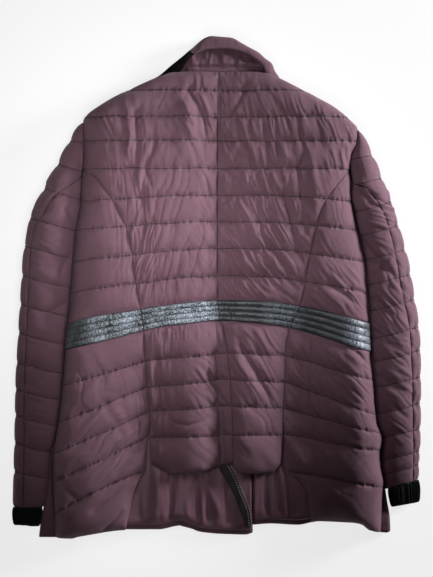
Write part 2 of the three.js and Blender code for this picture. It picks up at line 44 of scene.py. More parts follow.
# ---- driving dimensions, in mm -------------------------------------------------------------
WALL = 7.0
FRONT_T = 11.0
LINING_T = 1.2
LAY = 0.4
SEAM = 0.15
EDGE_H = 20.0
BASE = FRONT_T + LINING_T + 2 * LAY

# ---- tables: outline and seams of the back: y, left edge, left princess, centre, right princess, right edge
BODY = np.array([
    (329, -59, -59, 3, 75, 75), (316, -97, -97, 3, 100, 100), (301, -132, -132, 3, 132, 132),
    (288, -160, -160, 3, 157, 157), (276, -180, -180, 3, 179, 179), (264, -196, -196, 3, 195, 195),
    (253, -203, -203, 2.5, 207, 207), (242, -203, -203, 2.5, 216, 216), (222, -203, -203, 2.5, 215, 215),
    (204, -203, -203, 2.5, 208, 208), (183, -203, -203, 2.5, 204.5, 204.6), (165, -204, -182, 2.5, 192, 204.8),
    (150, -206, -169, 2.5, 179, 205), (133, -207, -157, 2.5, 167, 208), (116, -209, -148, 2.5, 159, 211),
    (99, -213, -140, 2.5, 154, 215), (77, -216, -132, 2.5, 149, 220), (34, -220, -125, 2.5, 140, 229),
    (11, -222, -122, 3, 136, 231), (-23, -225, -116, 3, 130, 234), (-44, -227, -112, 5, 120, 234.5),
    (-66, -228, -110, 12, 111, 235), (-97, -231, -108, 17, 106, 236), (-148, -235, -105, 22, 105, 241),
    (-205, -241, -101, 25, 102, 246), (-232, -246, -105, 25, 105, 254), (-254, -249, -106, 26, 108, 251),
    (-277, -250, -107, 26, 109, 253), (-297, -250, -119, 26, 128, 256), (-315, -250, -126, 26, 139, 255),
    (-343, -248, -132, 26, 144, 254), (-389, -246, -142, 26, 152, 252)], float)
# y, left end, right end of the short centre of the peplum
VENT = np.array([(-205, -101, 102), (-232, -101, 101), (-254, -100, 100), (-290, -97, 97)], float)
# y, left, right of the fronts beyond the side seams
FRONT_EDGE = np.array([(-225, -245, 252), (-235, -247, 256), (-254, -255, 253), (-271, -256, 254),
                       (-294, -258, 258), (-328, -263, 263), (-351, -268, 267), (-388, -273, 269)], float)
FRONT_MEET = np.array([(-390, 56.5), (-255, 56.5), (-150, 30), (0, 3), (330, 3)], float)
# x, top, bottom of the waist band
BAND = np.array([(-235, -59, -97), (-228, -57, -95), (-194, -46, -87), (-156, -40, -78), (-117, -34, -68),
                 (-79, -28, -59), (-40, -23, -55), (3, -20, -51), (52, -20.5, -54), (91, -23, -58),
                 (129, -29, -66), (168, -37, -78), (206, -47, -90), (240, -56, -99)], float)
# x, y of each hem
HEM_FRONT_L = np.array([(-275, -384), (-220, -384), (-209, -381), (-136, -372), (-88, -372), (-54, -366),
                        (-23, -376), (8, -379), (45, -380), (57, -377)], float)
HEM_FRONT_R = np.array([(57, -365), (83, -363), (125, -365), (160, -359), (206, -359), (220, -361),
                        (234, -371), (262, -377), (270, -374)], float)
HEM_BACK_L = np.array([(-105, -268), (-92, -274), (-65, -285), (-43, -282), (-3, -277), (26, -268)], float)
HEM_BACK_R = np.array([(24, -268), (32, -280), (60, -284), (84, -283), (96, -274), (102, -262)], float)
# rows of quilting above the waist: y at the centre back, share of the band's dip
QUILT_UPPER = [(-20, 1), (17, 0.8), (59, 0.65), (100, 0.45), (140, 0.35), (180.4, 0.05), (222, 0), (259, 0),
               (299, 0), (328.2, 0)]
# rows below the waist: y at the left edge, left princess, centre, right princess, right edge
QUILT_LOWER = [(-150, -112, -100, -104, -141), (-206, -152, -140, -144, -194), (-254, -189, -180, -184, -222),
               (-298, -229, -225, -225, -249)]
QUILT_SIDE_END = [(-345, -280, None, -282, -305)]
# height of the back over the floor at places across it (columns) and down it (rows)
HEIGHT_X = [-225, -195, -165, -140, -112, -70, -40, -20, 3, 40, 80, 112, 140, 165, 195, 215, 235]
HEIGHT = [
    (329, 25, 26, 27, 28, 30, 32, 32, 31, 27, 30, 31, 31, 31, 30, 29, 28, 26),
    (290, 30, 34, 37, 39, 40, 41, 39, 36, 30, 34, 37, 38, 39, 39, 37, 34, 30),
    (230, 34, 41, 46, 47, 46, 45, 42, 37, 29, 35, 38, 41, 43, 44, 42, 38, 33),
    (150, 35, 44, 50, 50, 48, 45, 42, 37, 27, 34, 38, 41, 43, 46, 44, 40, 34),
    (80, 36, 46, 52, 51, 48, 45, 41, 36, 26, 34, 38, 40, 42, 47, 46, 42, 36),
    (20, 36, 46, 52, 51, 48, 45, 41, 36, 26, 34, 38, 39, 41, 46, 47, 44, 37),
    (-20, 38, 48, 52, 51, 47, 44, 41, 36, 26, 35, 38, 38, 38, 44, 47, 45, 38),
    (-60, 46, 51, 50, 48, 43, 41, 42, 37, 27, 36, 38, 32, 32, 40, 47, 46, 39),
    (-120, 50, 52, 48, 43, 35, 38, 44, 41, 26, 40, 37, 23, 25, 33, 45, 50, 44),
    (-190, 51, 51, 45, 39, 28, 34, 44, 42, 23, 41, 35, 19, 21, 29, 43, 51, 45),
    (-260, 48, 48, 42, 35, 24, 31, 41, 39, 21, 38, 31, 18, 20, 27, 40, 49, 44),
    (-389, 32, 34, 30, 25, 20, 24, 25, 24, 20, 24, 24, 19, 20, 24, 32, 38, 35)]
# creases: points, half width, rise, crispness (1 crisp, 0 soft)
CREASES = [
    ([(-124, 282), (-121, 256), (-120, 225), (-120, 196), (-116, 168)], 5, -4.5, 1),
    ([(-132, 275), (-130, 235), (-128, 190)], 7, 2.5, 0),
    ([(-89, 233), (-95, 210), (-105, 183), (-111, 153), (-111, 131), (-116, 105)], 5, -4.5, 1),
    ([(-98, 225), (-112, 180), (-119, 130)], 6, 2.2, 0),
    ([(-107, 103), (-111, 74), (-118, 56)], 4, -3, 1),
    ([(-146, 182), (-148, 153), (-146, 137)], 3, -2, 1),
    ([(-41, 319), (-42, 293), (-30, 276), (-20, 256), (-15, 210)], 6, -5, 1),
    ([(-52, 312), (-53, 285), (-44, 262), (-34, 236), (-30, 200)], 9, 3.5, 0),
    ([(-46, 291), (-45, 260), (-49, 227), (-55, 196)], 16, 3, 0),
    ([(-18, 174), (-12, 133)], 4, -3, 1),
    ([(-11, 99), (-3, 80), (-2, 46)], 4, -2.5, 1),
    ([(140, 216), (132, 194), (124, 177), (127, 153), (130, 125), (136, 88), (140, 63)], 4, -4, 1),
    ([(140, 216), (146, 183), (151, 147), (151, 99)], 6, 3, 0),
    ([(95, 283), (108, 250), (118, 225)], 4, -2.5, 1),
    ([(89, 256), (92, 219), (95, 190)], 4, -2.2, 1),
    ([(102, 150), (112, 108), (120, 74), (124, 63), (135, 40)], 4.5, -3.5, 1),
    ([(49, 319), (36, 283), (20, 260)], 5, -3.5, 1),
    ([(80, 9), (108, -12), (125, -26)], 4.5, -4, 1),
    ([(66, 2), (92, -14)], 4, -2.5, 1),
    ([(151, -3), (182, -37)], 4.5, -3.5, 1),
    ([(176, 0), (219, -31)], 4.5, -3.5, 1),
    ([(198, 237), (204, 213)], 4, -2.5, 1),
    ([(29, -60), (38, -88), (54, -118), (68, -145), (80, -171), (83, -178), (99, -202)], 4.5, -5.5, 1),
    ([(22, -70), (30, -98), (44, -128), (56, -156), (66, -182)], 8, 3.5, 0),
    ([(-14, -101), (-12, -129), (-8, -143), (8, -168), (20, -180)], 4, -4.5, 1),
    ([(-97, -92), (-88, -111), (-92, -140), (-85, -158), (-84, -177), (-92, -208), (-85, -223)], 4, -3.5, 1),
    ([(-101, -100), (-97, -140), (-98, -190)], 3, 2, 0),
    ([(208, -95), (227, -114)], 4, -3, 1),
    ([(186, -135), (200, -161), (220, -183)], 5, -3.5, 1),
    ([(-75, -196), (-60, -206), (-42, -209), (-22, -203), (-11, -191)], 3.5, -4, 1),
    ([(9, -174), (9, -205), (11, -243), (12, -282)], 5, -5, 1),
    ([(60, 132), (69, 81), (93, 22)], 4, -3, 1),
    ([(28, 98), (42, 64), (63, 30), (76, 17)], 4, -3, 1),
    ([(75, 98), (86, 60), (110, 26), (118, 0)], 4, -3.4, 1),
    ([(96, 158), (110, 115), (125, 72)], 4, -2.6, 1),
    ([(52, 190), (61, 141)], 3.5, -2.2, 1),
    ([(24, 172), (37, 119)], 3.5, -2.2, 1),
    ([(110, 98), (122, 60), (136, 26)], 4, -3, 1),
    ([(44, 76), (76, 34), (108, 12)], 4, -3, 1),
    ([(15, 34), (37, 0), (50, -19)], 3.5, -2.6, 1),
    ([(70, 250), (78, 205), (84, 170)], 4, -2, 1),
    ([(120, 262), (126, 236), (134, 214)], 3.5, -2, 1),
    ([(150, 262), (158, 236), (160, 204)], 3.5, -2, 1),
    ([(-250, -279), (-228, -302), (-208, -325)], 5, -3, 0.7),
    ([(-152, -228), (-128, -214), (-104, -199)], 5, -3.4, 0.8),
    ([(-167, -262), (-130, -228), (-102, -204)], 5, -3.6, 0.8),
    ([(-158, -286), (-134, -257), (-104, -242)], 6, -4, 0.8),
    ([(-196, -345), (-160, -316), (-136, -296)], 6, -3.5, 0.8),
    ([(-176, -374), (-150, -345), (-140, -330)], 5, -3.5, 0.8),
    ([(-140, -338), (-128, -316), (-114, -306)], 5, -2.5, 0.6),
    ([(-118, -330), (-122, -300), (-128, -290)], 9, 3.0, 0),
    ([(-206, -240), (-190, -290), (-186, -330)], 18, 1.4, 0),
    ([(182, -60), (206, -92), (232, -112)], 5, -3, 0.8),
    ([(168, -110), (196, -148), (226, -172)], 5, -3, 0.8),
    ([(160, -170), (190, -212), (226, -240)], 6, -3, 0.6),
    ([(-86, -300), (-90, -336), (-94, -362)], 6, 3, 0),
]
# where many fine wrinkles run side by side: x, y, radius along x, radius along y, direction across them, spacing, rise
WRINKLES = [
    (66, 205, 64, 62, 0.97, 0.24, 7.0, 0.75), (72, 112, 62, 50, 0.91, 0.41, 7.0, 1.05), (76, 35, 66, 44, 0.80, 0.60, 6.5, 1.15),
    (22, 40, 18, 50, 0.90, 0.43, 5.0, 0.7), (178, -10, 44, 36, 0.73, 0.67, 7.0, 0.9), (205, -120, 44, 60, 0.76, 0.65, 8.0, 0.8),
    (150, -150, 34, 90, 0.88, 0.48, 8.0, 0.7), (-118, 170, 34, 120, 1.0, 0.06, 9.0, 0.65), (-30, 262, 34, 60, 0.92, 0.38, 8.0, 0.8),
    (-112, 60, 26, 70, 0.96, -0.28, 7.0, 0.7), (-4, -140, 26, 60, 0.80, 0.60, 7.0, 0.9), (60, -110, 40, 60, 0.85, 0.52, 9.0, 0.7),
    (-185, -190, 56, 70, 0.66, -0.75, 12.0, 0.45), (-140, -262, 56, 46, 0.72, -0.69, 12.0, 0.6), (-85, -150, 20, 90, 1.0, 0.0, 7.0, 0.8),
    (-40, 20, 60, 40, 0.97, -0.20, 12.0, 0.45), (-60, -66, 60, 14, 0.98, 0.10, 4.5, 0.5), (60, 10, 60, 18, 0.80, 0.60, 5.0, 0.6),
    (190, 190, 30, 70, 0.95, 0.30, 8.0, 0.6), (150, 276, 50, 34, 0.90, 0.40, 9.0, 0.6), (-160, 250, 44, 40, 0.93, 0.36, 10.0, 0.5),
    (264, -20, 24, 60, 0.75, 0.66, 8.0, 0.8), (252, 120, 22, 60, 0.35, 0.93, 9.0, 0.7), (-250, 130, 24, 50, 0.50, -0.86, 9.0, 0.35),
    (-262, 20, 24, 90, 0.45, 0.89, 11.0, 0.3), (285, -160, 22, 80, 0.55, 0.83, 10.0, 0.6), (-275, -150, 20, 90, 0.3, 0.95, 11.0, 0.5),
    (-30, 100, 90, 130, 0.97, -0.22, 17.0, 0.5), (60, 120, 90, 200, 0.94, 0.34, 15.0, 0.5), (100, -200, 130, 120, 0.80, 0.60, 18.0, 0.5), (-150, -160, 80, 60, 0.95, 0.3, 16.0, 0.4)]
SLEEVE_CREASES = [
    ([(-232, 126), (-216, 100), (-206, 78)], 6, -5, 0.7), 
    ([(-214, 60), (-232, 34), (-240, 10)], 6, -4, 0.7), ([(-222, -20), (-250, -36), (-266, -60)], 7, -3, 0.6),
    ([(212, 158), (226, 140), (241, 120)], 6, -5, 0.7), ([(216, 82), (236, 52), (254, 30), (280, 13)], 6, -5.5, 0.7),
    ([(236, 10), (250, 28), (265, 45)], 5, -4, 0.7), ([(232, -12), (254, -30), (276, -52)], 6, -4.5, 0.7),
    ([(240, -62), (262, -84), (284, -96)], 6, -3.5, 0.6), ([(246, -130), (268, -150), (290, -158)], 6, -3, 0.6)]
LINING_FOLDS = [
    ([(-73, -270), (-68, -328), (-72, -380)], 4, -6, 1),
    ([(-88, -270), (-90, -330), (-94, -380)], 7, 4, 0),
    ([(-56, -270), (-52, -330), (-50, -380)], 6, 2.5, 0),
    ([(-20, -270), (-10, -310), (10, -360)], 6, 2.5, 0),
    ([(-32, -280), (-28, -330), (-24, -370)], 4, -3, 1),
    ([(78, -270), (74, -310), (80, -360)], 5, -4, 1),
    ([(100, -270), (104, -330), (110, -360)], 7, 3, 0),
]
# sleeves: y, outer edge, seam that shows on top, height
SLEEVE_L = np.array([
    (252, -203.9, -203.6, 20), (248, -210.5, -204.3, 22), (239, -216, -204.5, 24), (227, -222, -204.5, 26),
    (202, -236, -204.5, 30), (177, -249, -205, 34), (165, -257, -213, 36), (150, -264, -231, 37), (137, -272, -245, 38),
    (122, -279, -256, 38), (105, -286, -265, 38), (79, -290, -279, 37), (57, -295, -283, 36), (-20, -300, -287, 33),
    (-81, -304, -290, 29), (-143, -308, -293, 26), (-205, -309, -294, 24), (-254, -310, -294, 23), (-297, -311, -295, 22),
    (-340, -312, -296, 21)], float)
SLEEVE_R = np.array([
    (241, 216.9, 216.6, 20), (237, 221.5, 217.2, 22), (227, 227, 217, 24), (214, 234, 214, 26), (202, 240, 210, 29),
    (185, 247, 206, 32), (165, 256, 209, 35), (151, 261, 229, 36), (133, 268, 242, 37), (114, 274, 253, 37),
    (102, 278, 258, 37), (77, 285, 266, 37), (39, 295, 274, 37), (11, 300, 279, 37), (-20, 305, 285, 36), (-57, 311, 293, 35),
    (-98, 314, 297, 33), (-192, 314, 300, 30), (-254, 313, 301, 28), (-279, 312, 301, 26), (-315, 311, 300, 24)], float)
QUILT_SLEEVE = {
    "left": dict(tilt=0.25, cuff=0.0, rows=[251.5, 222, 182, 142, 96, 53, 8, -36, -79, -124, -165, -205, -246, -288, -336.6]),
    "right": dict(tilt=0.25, cuff=0.33, rows=[240.5, 198, 160, 122, 86, 49, 11, -28, -70, -106, -145, -186, -223, -257, -279, -301]),
}
# the collar's turned-down part: outer edge x, y, inner edge x, y
COLLAR = np.array([
    (-98, 318.4, -88, 311), (-86, 325, -74, 318), (-68, 341, -53, 328), (-55, 351, -46, 343), (-40, 364, -37, 353),
    (-26, 375, -26, 359), (-17, 382, -15, 362), (-8, 385, -6, 363), (12, 383, 12, 363), (26, 382, 25, 362),
    (38, 374, 37, 359), (54, 365, 50, 354), (66, 359, 60, 347), (76, 349, 68, 341), (87, 342, 73, 334),
    (90, 331, 75, 327), (97, 321, 82, 318)], float)
# y, tape edge, teeth edge of the zip
ZIP = np.array([(-258, -6, 15), (-284, 8, 30), (-313, 25, 42), (-345, 38, 54), (-358, 43, 55.6), (-373, 45, 56)], float)


# ---- helpers ---------------------------------------------------------------------------------
def clamp(v, a, b):
    return np.minimum(np.maximum(v, a), b)


def lerp(a, b, t):
    return a + (b - a) * t


def ease(t):
    t = clamp(t, 0.0, 1.0)
    return t * t * (3 - 2 * t)


class Curve:
    """A monotone cubic through a table's column."""

    def __init__(self, table, col, at=0):
        order = np.argsort(table[:, at])
        self.x = table[order, at]
        self.v = table[order, col]
        d = np.diff(self.v) / np.diff(self.x)
        m = np.zeros_like(self.v)
        m[0], m[-1] = d[0], d[-1]
        a, b = d[:-1], d[1:]
        ok = a * b > 0
        m[1:-1][ok] = 2 * a[ok] * b[ok] / (a[ok] + b[ok])
        self.m = m

    def __call__(self, t):
        t = clamp(np.asarray(t, float), self.x[0], self.x[-1])
        i = clamp(np.searchsorted(self.x, t, side="right") - 1, 0, len(self.x) - 2).astype(int)
        h = self.x[i + 1] - self.x[i]
        s = (t - self.x[i]) / h
        a = 2 * s ** 3 - 3 * s ** 2 + 1
        b = s ** 3 - 2 * s ** 2 + s
        c = s ** 3 - s ** 2
        return a * self.v[i] + b * h * self.m[i] + (1 - a) * self.v[i + 1] + c * h * self.m[i + 1]


edge_l, princess_l, centre, princess_r, edge_r = (Curve(BODY, k) for k in range(1, 6))
vent_l, vent_r = Curve(VENT, 1), Curve(VENT, 2)
front_l, front_r = Curve(FRONT_EDGE, 1), Curve(FRONT_EDGE, 2)
meet = Curve(FRONT_MEET, 1)
band_top, band_bottom = Curve(BAND, 1), Curve(BAND, 2)
hem_front_l, hem_front_r = Curve(HEM_FRONT_L, 1), Curve(HEM_FRONT_R, 1)
hem_back_l, hem_back_r = Curve(HEM_BACK_L, 1), Curve(HEM_BACK_R, 1)


def outline_l(y):
    return np.where(np.asarray(y) > -225, edge_l(y), np.minimum(edge_l(y), front_l(y)))


def outline_r(y):
    return np.where(np.asarray(y) > -225, edge_r(y), np.maximum(edge_r(y), front_r(y)))


def peplum_l(y):
    return np.where(np.asarray(y) < -205, vent_l(y), princess_l(y))


def peplum_r(y):
    return np.where(np.asarray(y) < -205, vent_r(y), princess_r(y))


def spread(n, ends):
    """0..1 in n steps, closer at the ends."""
    t = np.linspace(0, 1, n)
    return lerp(t, 0.5 - 0.5 * np.cos(np.pi * t), ends)


def along(curve, left, right, start):
    def at(u):
        y = np.full_like(np.asarray(u, float), start)
        for _ in range(14):
            y = curve(lerp(left(y), right(y), u))
        return y
    return at


# smooth noise on a lattice, seeded
_rng = np.random.RandomState(7)
_LAT = _rng.uniform(-1, 1, (256, 256))


def noise(x, y, seed=0):
    x = np.asarray(x, float) + 37.13 * seed + 1000.0
    y = np.asarray(y, float) + 91.71 * seed + 1000.0
    i, j = np.floor(x).astype(int), np.floor(y).astype(int)
    fx, fy = x - i, y - j
    fx = fx ** 3 * (fx * (fx * 6 - 15) + 10)
    fy = fy ** 3 * (fy * (fy * 6 - 15) + 10)
    g = lambda a, b: _LAT[a & 255, b & 255]
    return lerp(lerp(g(i, j), g(i + 1, j), fx), lerp(g(i, j + 1), g(i + 1, j + 1), fx), fy)


def fbm(x, y, seed=0, octaves=3):
    out, amp = 0.0, 1.0
    for k in range(octaves):
        out = out + amp * noise(x * 2 ** k, y * 2 ** k, seed + 11 * k)
        amp *= 0.5
    return out


def crease_sum(x, y, creases):
    """Height added by the listed creases: troughs and ridges along polylines."""
    out = np.zeros_like(x)
    for pts, half, rise, crisp in creases:
        p = np.array(pts, float)
        lo, hi = p.min(0) - 5 * half, p.max(0) + 5 * half
        near = (x > lo[0]) & (x < hi[0]) & (y > lo[1]) & (y < hi[1])
        if not near.any():
            continue
        px, py = x[near], y[near]
        best = np.full(px.shape, 1e9)
        where = np.zeros(px.shape)
        seg = np.hypot(*(p[1:] - p[:-1]).T)
        total, run = seg.sum(), 0.0
        for k in range(len(p) - 1):
            d = p[k + 1] - p[k]
            t = clamp(((px - p[k, 0]) * d[0] + (py - p[k, 1]) * d[1]) / (d @ d), 0, 1)
            dist = np.hypot(px - p[k, 0] - t * d[0], py - p[k, 1] - t * d[1])
            take = dist < best
            best = np.where(take, dist, best)
            where = np.where(take, (run + t * seg[k]) / total, where)
            run += seg[k]
        taper = ease(where / 0.22) * ease((1 - where) / 0.3)
        soft = np.exp(-((best / half) ** 2))
        sharp = np.exp(-np.sqrt(best ** 2 + 0.8) / (half * 0.62)) * 1.15
        out[near] += rise * taper * lerp(soft, sharp, crisp)
    return out


def wrinkle_sum(x, y):
    """Fine wrinkles side by side: rounded tops and sharp valleys that cross the quilting."""
    out = np.zeros_like(x)
    for k, (cx, cy, rx, ry, nx, ny, gap, rise) in enumerate(WRINKLES):
        amount = np.exp(-((x - cx) / rx) ** 2 - ((y - cy) / ry) ** 2)
        s, t = x * nx + y * ny, y * nx - x * ny
        s = s + 0.35 * gap * noise(t / 26, s / 40, 200 + k)
        n = noise(s / (0.72 * gap), t / (5.5 * gap), 240 + k)
        out += 2.8 * rise * amount * (2.0 * np.abs(n) ** 0.75 - 0.9)
    return out


_hx = np.arange(-240.0, 250.1, 4.0)
_hy = np.arange(-396.0, 336.1, 6.0)
_rows = np.array(HEIGHT, float)
_cols = np.stack([Curve(np.stack([_rows[:, 0], _rows[:, k + 1]], -1), 1)(_hy) for k in range(len(HEIGHT_X))], -1)
_H = np.stack([Curve(np.stack([np.array(HEIGHT_X, float), r], -1), 1)(_hx) for r in _cols])
for _ in range(2):
    _H[:, 1:-1] = 0.25 * _H[:, :-2] + 0.5 * _H[:, 1:-1] + 0.25 * _H[:, 2:]


def crown_at(x, y):
    i = clamp((x - _hx[0]) / 4.0, 0, len(_hx) - 1.001)
    j = clamp((y - _hy[0]) / 6.0, 0, len(_hy) - 1.001)
    i0, j0 = i.astype(int), j.astype(int)
    fi, fj = i - i0, j - j0
    return lerp(lerp(_H[j0, i0], _H[j0, i0 + 1], fi), lerp(_H[j0 + 1, i0], _H[j0 + 1, i0 + 1], fi), fj)


def body_base(x, y):
    """Height of the back over the floor, without quilting."""
    l, r = edge_l(y), edge_r(y)
    turn = lerp(42.0, 24.0, ease((20 - y) / 120))
    q = clamp(1 - np.minimum((x - l) / turn, (r - x) / lerp(42.0, 34.0, ease(-y / 120))), 0, 1)
    z = EDGE_H + (crown_at(x, y) - EDGE_H) * np.sqrt(1 - q ** 2.4)
    return np.maximum(z, BASE + 4.5)


def normals(P):
    du = np.gradient(P, axis=1)
    dv = np.gradient(P, axis=0)
    n = np.cross(du, dv)
    return n / np.maximum(np.linalg.norm(n, axis=2, keepdims=True), 1e-9)


def mesh_object(name, points, faces, smooth=True):
    me = bpy.data.meshes.new(name)
    me.from_pydata((np.asarray(points, float) * MM).tolist(), [], faces)
    me.validate()
    if smooth:
        me.polygons.foreach_set("use_smooth", np.ones(len(me.polygons), bool))
    me.update()
    ob = bpy.data.objects.new(name, me)
    bpy.context.scene.collection.objects.link(ob)
    return ob


def picks(n, step):
    return np.unique(np.round(np.linspace(0, n - 1, max(2, int(math.ceil((n - 1) / step)) + 1))).astype(int))


def closed_wall(name, top, under, step=4):
    """A closed shell: a fine upper grid and a coarser lower one, joined round the rim."""
    m, n = top.shape[:2]
    ri, cj = picks(m, step), picks(n, step)
    low = under[np.ix_(ri, cj)]
    M, N = len(ri), len(cj)
    a = np.arange(m * n).reshape(m, n)
    b = m * n + np.arange(M * N).reshape(M, N)
    faces = np.stack([a[:-1, :-1], a[:-1, 1:], a[1:, 1:], a[1:, :-1]], -1).reshape(-1, 4).tolist()
    faces += np.stack([b[:-1, :-1], b[1:, :-1], b[1:, 1:], b[:-1, 1:]], -1).reshape(-1, 4).tolist()
    for k in range(M - 1):
        i0, i1 = ri[k], ri[k + 1]
        faces.append([int(b[k, 0])] + a[i0:i1 + 1, 0].tolist() + [int(b[k + 1, 0])])
        faces.append([int(b[k + 1, -1])] + a[i0:i1 + 1, -1][::-1].tolist() + [int(b[k, -1])])
    for k in range(N - 1):
        j0, j1 = cj[k], cj[k + 1]
        faces.append([int(b[0, k + 1])] + a[0, j0:j1 + 1][::-1].tolist() + [int(b[0, k])])
        faces.append([int(b[-1, k])] + a[-1, j0:j1 + 1].tolist() + [int(b[-1, k + 1])])
    pts = np.concatenate([top.reshape(-1, 3), low.reshape(-1, 3)])
    return mesh_object(name, pts, faces)


STITCHES = []     # (centre, direction, normal) of every stitch


def stitch_row(line, nrm, pitch=4.3, lift=0.1):
    """Keeps a row of stitches that follows a line of points on a panel."""
    d = np.linalg.norm(np.diff(line, axis=0), axis=1)
    s = np.concatenate([[0], np.cumsum(d)])
    if s[-1] < 8:
        return
    at = np.arange(2.5, s[-1] - 2, pitch)
    for t in at:
        k = min(np.searchsorted(s, t) - 1, len(d) - 1)
        f = (t - s[k]) / max(d[k], 1e-6)
        d0 = (line[k + 1] - line[k]) / max(d[k], 1e-6)
        p = lerp(line[k], line[k + 1], f) + nrm[k] * lift + np.cross(nrm[k], d0) * 0.45 * float(noise(t / 6.0, line[0][1] / 9.0, 301))
        STITCHES.append((p, (line[k + 1] - line[k]) / max(d[k], 1e-6), nrm[k]))


def edge_roll(d, radius, drop):
    """How far a padded edge turns down at a distance from the edge."""
    q = clamp(1 - d / radius, 0, 1)
    return drop * (1 - np.sqrt(1 - q ** 2))


PIECES = {}


def finish_piece(ob, node=None):
    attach(ob, "root")
    if node:
        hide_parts(node)
    PIECES[ob.name] = ob
    return ob


def solve(X, W, sa, sb, rest, k):
    d = X[sb] - X[sa]
    L = np.sqrt(np.einsum("ijk,ijk->ij", d, d)) + 1e-6
    wa, wb = W[sa], W[sb]
    d *= (k * (L - rest) / (L * (wa + wb + 1e-6)))[..., None]
    X[sa] += d * wa[..., None]
    X[sb] -= d * wb[..., None]


def springs(P, eu, ev, pulls):
    """Pairs of grid points with the length of cloth between them, in sets that share no point."""
    m, n = P.shape[:2]
    sets = []

    def add(ra, ca, rb, cb, stiff, kind):
        sa, sb = (ra, ca), (rb, cb)
        A, B = P[sa], P[sb]
        if A.size == 0:
            return
        d = B - A
        L = np.sqrt((d * d).sum(-1)) + 1e-6
        e = {"u": eu[sa], "v": ev[sa], "d": 0.5 * (eu[sa] + ev[sa])}[kind]
        for field, nx, ny in pulls:
            e = e + field[sa] * ((d[..., 0] * nx + d[..., 1] * ny) / L) ** 2
        sets.append((sa, sb, (L * (1 + e)).astype(np.float32), stiff))

    al = slice(None)
    for c in (0, 1):
        k = (n - 1 - c + 1) // 2
        add(al, slice(c, c + 2 * k - 1, 2), al, slice(c + 1, c + 2 * k, 2), 1.0, "u")
        k = (m - 1 - c + 1) // 2
        add(slice(c, c + 2 * k - 1, 2), al, slice(c + 1, c + 2 * k, 2), al, 1.0, "v")
    for c in (0, 1):
        k = (m - 1 - c + 1) // 2
        ra, rb = slice(c, c + 2 * k - 1, 2), slice(c + 1, c + 2 * k, 2)
        add(ra, slice(0, n - 1), rb, slice(1, n), 0.45, "d")
        add(ra, slice(1, n), rb, slice(0, n - 1), 0.45, "d")
    bend = []
    keep = sets
    sets = bend
    for c in range(4):
        k = (n - 2 - c + 3) // 4
        if k > 0:
            add(al, slice(c, c + 4 * k - 3, 4), al, slice(c + 2, c + 4 * k - 1, 4), 0.22, "u")
        k = (m - 2 - c + 3) // 4
        if k > 0:
            add(slice(c, c + 4 * k - 3, 4), al, slice(c + 2, c + 4 * k - 1, 4), al, 0.22, "v")
    return keep, bend


def relax(P0, N0, D, pins, eu, ev, pulls, press, steps, damp=0.93, low=-0.9, high=7.0):
    """Lets cloth that is larger than the place it is sewn over settle between its stitches."""
    P0 = P0.astype(np.float32)
    N0 = N0.astype(np.float32)
    X = P0 + D.astype(np.float32)
    old = X.copy()
    W = np.where(pins, 0, 1).astype(np.float32)
    main, bend = springs(P0, eu, ev, pulls)
    N = N0
    for it in range(steps):
        v = (X - old) * damp
        old = X.copy()
        if it % 5 == 0:
            N = normals(X).astype(np.float32)
            N *= np.sign((N * N0).sum(-1))[..., None]
        X += (v + press * N) * W[..., None]
        for sa, sb, rest, k in main:
            solve(X, W, sa, sb, rest, k)
        if it % 2 == 0:
            for sa, sb, rest, k in bend:
                solve(X, W, sa, sb, rest, k)
        h = ((X - P0) * N0).sum(-1)
        X += ((clamp(h, low, high) - h) * W)[..., None] * N0
    return X - P0


def twice(D):
    """A grid with a point between every two."""
    for axis in (0, 1):
        D = np.moveaxis(D, axis, 0)
        n = len(D)
        out = np.empty((2 * n - 1,) + D.shape[1:], D.dtype)
        out[::2] = D
        mid = 0.5 * (D[:-1] + D[1:])
        if n > 3:
            mid[1:-1] = (9 * (D[1:-2] + D[2:-1]) - D[:-3] - D[3:]) / 16
        out[1::2] = mid
        D = np.moveaxis(out, 0, axis)
    return D


def settle(P0, N0, f, pins_line, pins_edge, puff, eu, ev, pulls, seed, press=0.0022):
    """The cloth's shape over a stitched panel, first coarse and then fine."""
    c = (slice(None, None, 2), slice(None, None, 2))
    x, y = P0[..., 0], P0[..., 1]
    start = puff * clamp(4 * f * (1 - f), 0, 1) ** 0.35
    start = start * (1 + 0.3 * noise(x / 30, y / 50, seed)) + 0.9 * noise((x + P0[..., 2]) / 6.0, y / 26, seed + 1)
    start = np.where(pins_line | pins_edge, 0, start)
    D = (N0 * start[..., None])[c]
    pc = (pins_line | pins_edge)[c]
    D = np.where((pins_line & ~pins_edge)[c][..., None], -0.6 * N0[c], D)
    D = relax(P0[c], N0[c], D, pc, eu[c], ev[c], [(g[c], nx, ny) for g, nx, ny in pulls], press * 2.2, 240)
    D = twice(D)
    m, n = f.shape
    D = D[:m, :n]
    D[pins_edge] = 0
    hole = pins_edge | (pins_line & ((np.arange(n) % 3) == 0)[None, :])
    D = D + N0 * (0.25 * noise((x + P0[..., 2]) / 2.6, y / 9, seed + 2) * ~hole)[..., None]
    D = relax(P0, N0, D, hole, eu, ev, pulls, press, 130)
    S = D.copy()
    S[1:-1, 1:-1] = 0.5 * D[1:-1, 1:-1] + 0.125 * (D[:-2, 1:-1] + D[2:, 1:-1] + D[1:-1, :-2] + D[1:-1, 2:])
    return np.where(hole[..., None], D, S).astype(float)


